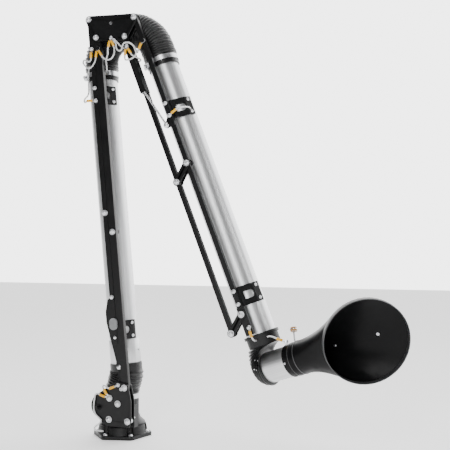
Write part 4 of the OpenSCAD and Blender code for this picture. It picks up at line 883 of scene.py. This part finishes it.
def make_terminal(name, rim):
    """A ring terminal about a screw on the Y axis, its barrel towards +X; it sits on y = 0."""
    alone()
    bpy.ops.mesh.primitive_cylinder_add(vertices=40, radius=rim, depth=ring_t, location=(0, -ring_t / 2, 0),
                                        rotation=(pi / 2, 0, 0))
    ring = shape(name)
    bpy.ops.mesh.select_all(action="SELECT")
    bpy.ops.mesh.bevel(offset=0.0002, segments=2)
    alone()
    bpy.ops.mesh.primitive_cube_add(size=1, location=(rim + 0.0008, -ring_t, 0),
                                    scale=(0.0045, 0.0016, 0.0044))
    tongue = shape(name + "_tongue")
    pick(tongue, lambda at, facing: facing.x > 0.9)
    bpy.ops.mesh.extrude_region_move(TRANSFORM_OT_translate={"value": (0.0016, -0.0022, 0)})
    bpy.ops.mesh.select_all(action="SELECT")
    bpy.ops.mesh.bevel(offset=0.0004, segments=2)
    alone()
    add_rod(rim + lug_run + barrel_run / 2, -barrel_out, barrel_r, barrel_run, 24)
    barrel = shape(name + "_barrel")
    pick(barrel, lambda at, facing: abs(facing.x) > 0.9)
    bpy.ops.mesh.inset(thickness=0.0005, depth=-0.0004)
    join(ring, barrel, tongue)
    smooth(ring, 35)
    return ring


def make_sleeve(name, rim):
    """A soft vinyl sleeve over a barrel, narrower where it grips the wire."""
    alone()
    add_rod(rim + lug_run + run_gap + sleeve_run / 2, -barrel_out, sleeve_r, sleeve_run, 28)
    sleeve = shape(name)
    pick(sleeve, lambda at, facing: abs(facing.x) > 0.9)
    bpy.ops.mesh.inset(thickness=0.0004, depth=0.0005)
    bpy.ops.mesh.inset(thickness=0.0005, depth=-0.0006)
    smooth(sleeve, 50)
    return sleeve


def mm_points(*points):
    return [Vector(p) * mm for p in points]


base_arch = mm_points((-20.2, -14.5, 131.5), (-18.5, -14.5, 136), (-13, -14.5, 136), (-8.5, -14.5, 131.5))
base_drop = mm_points(
    (-35.5, -14.5, 115), (-41, -15, 111), (-43, -15.5, 100), (-44.3, -15.5, 90), (-44.8, -15.5, 80),
    (-44.2, -15, 71), (-39.5, -14.4, 62), (-31.2, -14.4, 55), (-24.7, -15, 49.5), (-26, -16.5, 43),
    (-33, -18.5, 37), (-41, -18, 30), (-42.5, -14, 23.5), (-34, -9, 20.5), (-22, -6, 19.5))
carrier_climb = mm_points(
    (-29.5, -10, -1), (-32, -9.5, 3), (-29, -9, 9.5), (-22, -8, 15), (-18.5, -7.5, 23), (-19, -5, 34),
    (-19.5, -2, 50), (-20.5, 3, 67), (-21, 7, 82), (-20, 10.5, 96))
carrier_to_strut = mm_points(
    (-53.1, -10.2, -103.7), (-56.7, -9.5, -107.8), (-64.3, -8, -106.6), (-71.9, -6, -103.5),
    (-77.4, -4, -103.2), (-79.2, -4, -109.8), (-71.6, -6, -117.9), (-60.2, -9, -124.6),
    (-49.6, -10.5, -121.7), (-43, -10.5, -112.8), (-39.7, -9.8, -102.7))
strut_to_ground = mm_points(
    (-19.3, -10.5, -98.2), (-12, -11, -102.9), (-1.7, -12, -105.7), (8.2, -13, -102),
    (14.3, -14, -93), (15.6, -14.5, -80.4))
ground_to_back = mm_points(
    (-3.3, -14.5, -78.3), (-5.5, -9, -87.7), (-12.6, 0, -93.4), (-18.3, 6, -102.1),
    (-18.5, 10, -116.7), (-17.2, 11.5, -130.8))
ground_to_box = mm_points(
    (18.6, -14.6, -65.6), (21.6, -15, -77.5), (26.3, -15, -83.4), (31.9, -16, -84.8),
    (38, -17.5, -81.6), (42.2, -22, -74.5), (48.7, -26.5, -68.9), (61.9, -28, -68.4),
    (73, -25, -74.9), (79.5, -23.6, -87.3), (81.1, -23.6, -97), (74.3, -23.7, -105.8),
    (61.5, -23.7, -110.4), (52.4, -23.7, -109.8))
ground_to_stud = mm_points(
    (23.5, -13, -63.9), (28.8, -9, -70.2), (34.4, -1, -74.5), (40, 9.2, -75.2), (50, 10.6, -74.8),
    (60, 10.6, -75.4), (68, 5.5, -80.6), (74.5, -3, -86.8), (78.8, -9, -89.3))
box_to_back = mm_points(
    (70.6, -23.7, -98.7), (76.6, -22.2, -102.2), (80.7, -14, -104.1), (82.2, -4, -104.5),
    (81.3, 5, -106), (75.4, 10.4, -107.8), (67.4, 10.6, -107.6))
outer_lead_route = mm_points((29, -11.5, 6), (36, -3, 7.5), (42, 10, 8), (45, 22, 7.5), (44.6, 31.4, 6.3))
end_lead_route = mm_points((5.9, -8.5, -11), (6.2, -2, -15.5), (5.8, 6.5, -17), (5.2, 13, -17))
cuff_lead_route = mm_points((32.6, -27.4, 72), (38, -24.8, 71.4), (43.5, -21.2, 67.5), (47, -18.8, 63.6))
cuff_sleeve = mm_points((49, -17.5, 61.5), (59.5, -10.8, 51.5))

plain_bolt, cheek_ground, elbow_ground = (-0.0032, 0.1048), (0.0208, 0.1386), (0.003, -0.050)
carrier_end, strut_end = (-0.0538585, -0.075495), (-0.0369493, -0.0738511)
box_end, stud_end = (0.052986, -0.0756181), (0.0911673, -0.0593701)
lead_frame = lower @ shift(0, 0, 0.6817)
bracket_frame = outer @ shift(0, 0, -0.2723)
beam_foot = outer @ shift(0, 0, -outer_len)
wire_ends = {  # frame, screw's x and z, seat, direction of the barrel, rim, body
    "arch_end": (cheek, plain_bolt, plate_seat, 122.5, washer_rim, "turret"),
    "drop_end": (cheek, plain_bolt, plate_seat, 162.5, washer_rim, "turret"),
    "cheek_end": (cheek, cheek_ground, plate_seat, -157, ring_rim, "turret"),
    "lead_end": (lead_frame, (0, 0), bar_seat, 175, ring_rim, "lower_arm"),
    "carrier_end": (elbow, carrier_end, bar_seat, -87.6, ring_rim, "lower_arm"),
    "strut_left_end": (elbow, strut_end, strut_front, -95.6, ring_rim, "strut"),
    "strut_right_end": (elbow, strut_end, strut_front, -54.6, ring_rim, "strut"),
    "ground_end_1": (elbow, elbow_ground, plate_seat, -102.6, ring_rim, "elbow"),
    "ground_end_2": (elbow, elbow_ground, plate_seat, -65.6, ring_rim, "elbow"),
    "ground_end_3": (elbow, elbow_ground, plate_seat, -47.6, ring_rim, "elbow"),
    "ground_end_4": (elbow, elbow_ground, plate_seat, -25.6, ring_rim, "elbow"),
    "box_left_end": (elbow, box_end, box_seat, -95.6, ring_rim, "outer_rod"),
    "box_right_end": (elbow, box_end, box_seat, -52.6, ring_rim, "outer_rod"),
    "stud_end": (elbow, stud_end, bar_seat, -112.6, ring_rim, "outer_arm"),
    "bracket_end": (bracket_frame, (0, 0), bracket_seat, 14, ring_rim, "outer_arm"),
    "beam_end": (beam_foot, (0.0056, 0.0182), bar_seat, -90.5, ring_rim, "outer_arm"),
}
without_sleeve = ("ground_end_3", "ground_end_4")


def lead_in(name):
    """The wire's points in the barrel and sleeve of one end, from the terminal outwards."""
    where, at, seat, angle, rim, body = wire_ends[name]
    root = Vector((at[0], seat - barrel_out, at[1]))
    way = Vector((cos(radians(angle)), 0, sin(radians(angle))))
    return [root + way * (rim + lug_run + far)
            for far in (barrel_run * 0.6, (barrel_run + sleeve_run) / 2, sleeve_run + run_gap)]


def wire(name, route, where, bodies, node):
    """A wire along a route in one of the arm's frames; with one body it hangs on it, with two it stays
    where it is drawn.
    """
    points = curve_through([where @ p for p in route], wire_step)
    piece = loft(name, tube_rings(points, wire_r, 14), closed=True)
    smooth(piece, 60)
    dress(piece, braid)
    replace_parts(piece, node)
    if len(bodies) == 1:
        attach(piece, bodies[0])
    else:
        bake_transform(piece)


def make_wires():
    wire("arch_wire", lead_in("arch_end") + base_arch + lead_in("cheek_end")[::-1], cheek,
         ("turret",), "base_jumpers")
    wire("drop_wire", lead_in("drop_end") + base_drop, cheek, ("turret", "base"), "base_jumpers")
    wire("carrier_wire", lead_in("lead_end") + carrier_climb, lead_frame, ("lower_arm",),
         "carrier_lead")
    loop = lead_in("carrier_end") + carrier_to_strut + lead_in("strut_left_end")[::-1]
    turn = loop.index(carrier_to_strut[5])
    for name, route, bodies in (
            ("carrier_loop_wire", loop[:turn + 1], ("lower_arm", "elbow")),
            ("strut_loop_wire", loop[turn:], ("elbow", "strut")),
            ("strut_wire", lead_in("ground_end_2") + strut_to_ground[::-1]
             + lead_in("strut_right_end")[::-1], ("elbow", "strut")),
            ("back_wire", lead_in("ground_end_1") + ground_to_back, ("elbow", "lower_arm")),
            ("box_wire", lead_in("ground_end_3")[:1] + ground_to_box + lead_in("box_left_end")[::-1],
             ("elbow", "outer_rod")),
            ("stud_wire", lead_in("ground_end_4")[:1] + ground_to_stud + lead_in("stud_end")[::-1],
             ("elbow", "outer_arm")),
            ("box_back_wire", lead_in("box_right_end") + box_to_back, ("outer_rod",))):
        wire(name, route, elbow, bodies, "elbow_jumpers")
    wire("bracket_wire", lead_in("bracket_end") + outer_lead_route, bracket_frame, ("outer_arm",),
         "outer_jumpers")
    wire("end_wire", lead_in("beam_end") + end_lead_route, beam_foot, ("outer_arm", "hood_collar"),
         "hood_jumpers")
    ahead = (cuff_sleeve[1] - cuff_sleeve[0]).normalized()
    wire("cuff_wire", cuff_lead_route + [cuff_sleeve[0], cuff_sleeve[0] + ahead * barrel_run], hood,
         ("hood_collar", "hood"), "hood_jumpers")


def make_ends():
    """Terminals and sleeves: one of each for small screws and one for washered bolts, then copies."""
    kinds = {rim: (make_terminal(name + "_terminal", rim), make_sleeve(name + "_sleeve", rim))
             for name, rim in (("small", ring_rim), ("washer", washer_rim))}
    places = [(name, where @ shift(at[0], seat, at[1]) @ turn_y(-angle), rim, body)
              for name, (where, at, seat, angle, rim, body) in wire_ends.items()]
    ahead = cuff_sleeve[1] - cuff_sleeve[0]
    places.append(("cuff_end", hood @ shift(*(cuff_sleeve[1] + ahead.normalized() * (lug_run + run_gap)))
                   @ ahead.to_track_quat("-X", "Z").to_matrix().to_4x4()
                   @ shift(-ring_rim, barrel_out, 0), ring_rim, "hood"))
    for name, place, rim, body in places:
        terminal, sleeve = kinds[rim]
        copy_at(terminal, name + "_terminal", place, zinc, body)
        if name not in without_sleeve:
            copy_at(sleeve, name + "_sleeve", place, yellow, body)
    for terminal, sleeve in kinds.values():
        bpy.data.objects.remove(terminal)
        bpy.data.objects.remove(sleeve)


make_wires()
make_ends()


# ---------------------------------------------------------------- small screws, lip and knob ring
def make_pan_head():
    """A slotted pan head of radius 1 on the origin, facing -Y."""
    alone()
    bpy.ops.mesh.primitive_cylinder_add(vertices=32, radius=1, depth=0.7, location=(0, -0.3, 0),
                                        rotation=(pi / 2, 0, 0))
    head = shape("pan_head")
    pick(head, lambda at, facing: facing.y < -0.9)
    bpy.ops.mesh.bevel(offset=0.34, segments=5)
    pick(head, lambda at, facing: facing.y < -0.98 and at.xz.length < 0.3)
    bpy.ops.mesh.inset(thickness=0.2, depth=0)
    bpy.ops.mesh.extrude_region_move(TRANSFORM_OT_translate={"value": (0, 0.22, 0)})
    bpy.ops.transform.resize(value=(1, 1, 0.24), center_override=(0, -0.5, 0))
    smooth(head, 40)
    return head


def on_skin(node, near):
    """The place on a CAD node that is nearest to a point, and the way its skin faces there."""
    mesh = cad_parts[node].data
    tree = BVHTree.FromPolygons([v.co for v in mesh.vertices], [p.vertices for p in mesh.polygons])
    return tree.find_nearest(near)[:2]

rivet_proud = 0.0006
screw_sites = (  # name, node, a place near it, radius, body
    ("cone_screw_far", "hood_cone", hood @ Vector((0.2672, 0.0584, -0.0058)), 0.0041, "hood"),
    ("cone_screw_near", "hood_cone", hood @ Vector((0.1582, 0.0432, 0)), 0.0036, "hood"),
    ("cuff_screw", "hood_cuff", hood @ Vector((0.063, -0.045, 0)), 0.0027, "hood"),
    ("collar_screw_1", "hood_swivel_collar", (0.3544, -0.045, 0.2769), 0.0017, "hood_collar"),
    ("collar_screw_2", "hood_swivel_collar", (0.3612, -0.045, 0.2777), 0.0017, "hood_collar"),
    ("boot_rivet_1", "hood_hose", (0.3708, -0.035, 0.2134), 0.0016, "hood_collar"),
    ("boot_rivet_2", "hood_hose", (0.3783, -0.038, 0.2156), 0.0016, "hood_collar"),
    ("boot_rivet_3", "hood_hose", (0.3677, -0.035, 0.1915), 0.0016, "hood_collar"),
    ("boot_rivet_4", "hood_hose", (0.3767, -0.038, 0.191), 0.0016, "hood_collar"),
    ("cheek_dome", "front_cheek", (0.0301, bar_y - plate_out, 0.1292), 0.0046, "turret"),
    ("housing_screw", "turret_housing", (0.0607, -0.062, 0.0563), 0.0022, "turret"),
)


def make_small_screws():
    head = make_pan_head()
    front = Vector((0, -1, 0))
    axis_in_cone = hood @ Vector((0.2, 0, 0))
    for name, node, near, radius, body in screw_sites:
        at, facing = on_skin(node, Vector(near))
        if node == "hood_cone" and facing.dot(axis_in_cone - at) < 0:
            facing = -facing
        if node == "hood_hose":
            at = at + facing * rivet_proud
        turn = front.rotation_difference(facing).to_matrix().to_4x4()
        copy_at(head, name, shift(*at) @ turn @ Matrix.Scale(radius, 4), zinc, body)
    bpy.data.objects.remove(head)


def make_ring(name, where, radius, thick, height, material, body):
    """A band about the Z axis of a frame, with rounded edges."""
    alone()
    bpy.ops.mesh.primitive_cylinder_add(vertices=96, radius=radius, depth=height, end_fill_type="NOTHING")
    ring = take(name)
    use(ring, "SOLIDIFY", thickness=thick, offset=1.0, use_rim=True)
    use(ring, "BEVEL", width=min(thick, height) * 0.3, segments=3, limit_method="ANGLE")
    smooth(ring, 40)
    ring.data.transform(where)
    finish_piece(ring, material, body)


def make_hood_rings():
    for name, x, thick, height in (("cuff_lip", 0.0903, 0.0007, 0.0022),
                                   ("cuff_seam", 0.0745, 0.0004, 0.0012)):
        make_ring(name, hood @ shift(x, 0, 0) @ turn_y(90), 0.0403, thick, height, rim_grey, "hood")
    low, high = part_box("damper_knob")
    make_ring("knob_ring", shift(*((low + high) / 2)) @ damper.to_3x3().to_4x4(), 0.0086, 0.0007,
              0.0022, chrome, "damper")


make_small_screws()
make_hood_rings()


def make_floor():
    alone()
    bpy.ops.mesh.primitive_plane_add(size=14, location=(0, 0, -0.0006))
    floor = take("floor")
    dress(floor, floor_paint())


def make_world():
    world = bpy.data.worlds.new("pale room")
    world.use_nodes = True
    nodes, links = world.node_tree.nodes, world.node_tree.links
    back = nodes["Background"]
    here = nodes.new("ShaderNodeTexCoord")
    axes = nodes.new("ShaderNodeSeparateXYZ")
    fade = nodes.new("ShaderNodeMapRange")
    fade.interpolation_type = "SMOOTHSTEP"
    for key, value in (("From Min", 0.05), ("From Max", 0.75), ("To Min", 0.13), ("To Max", 4.4)):
        fade.inputs[key].default_value = value
    links.new(here.outputs["Generated"], axes.inputs[0])
    links.new(axes.outputs["Y"], fade.inputs["Value"])
    links.new(fade.outputs[0], back.inputs[1])
    back.inputs[0].default_value = (1, 1, 1, 1)
    bpy.context.scene.world = world


make_floor()
make_world()
soft_light("key", (0.75, -2.9, 1.5), (0, 0, 0.6), (0.7, 2.4), 44)
soft_light("side", (2.6, -0.5, 1.2), (0.1, 0, 0.5), (0.4, 2.0), 16)
soft_light("top", (0.3, -0.2, 3.0), (0.1, 0, 0.5), (2.2, 1.4), 34)
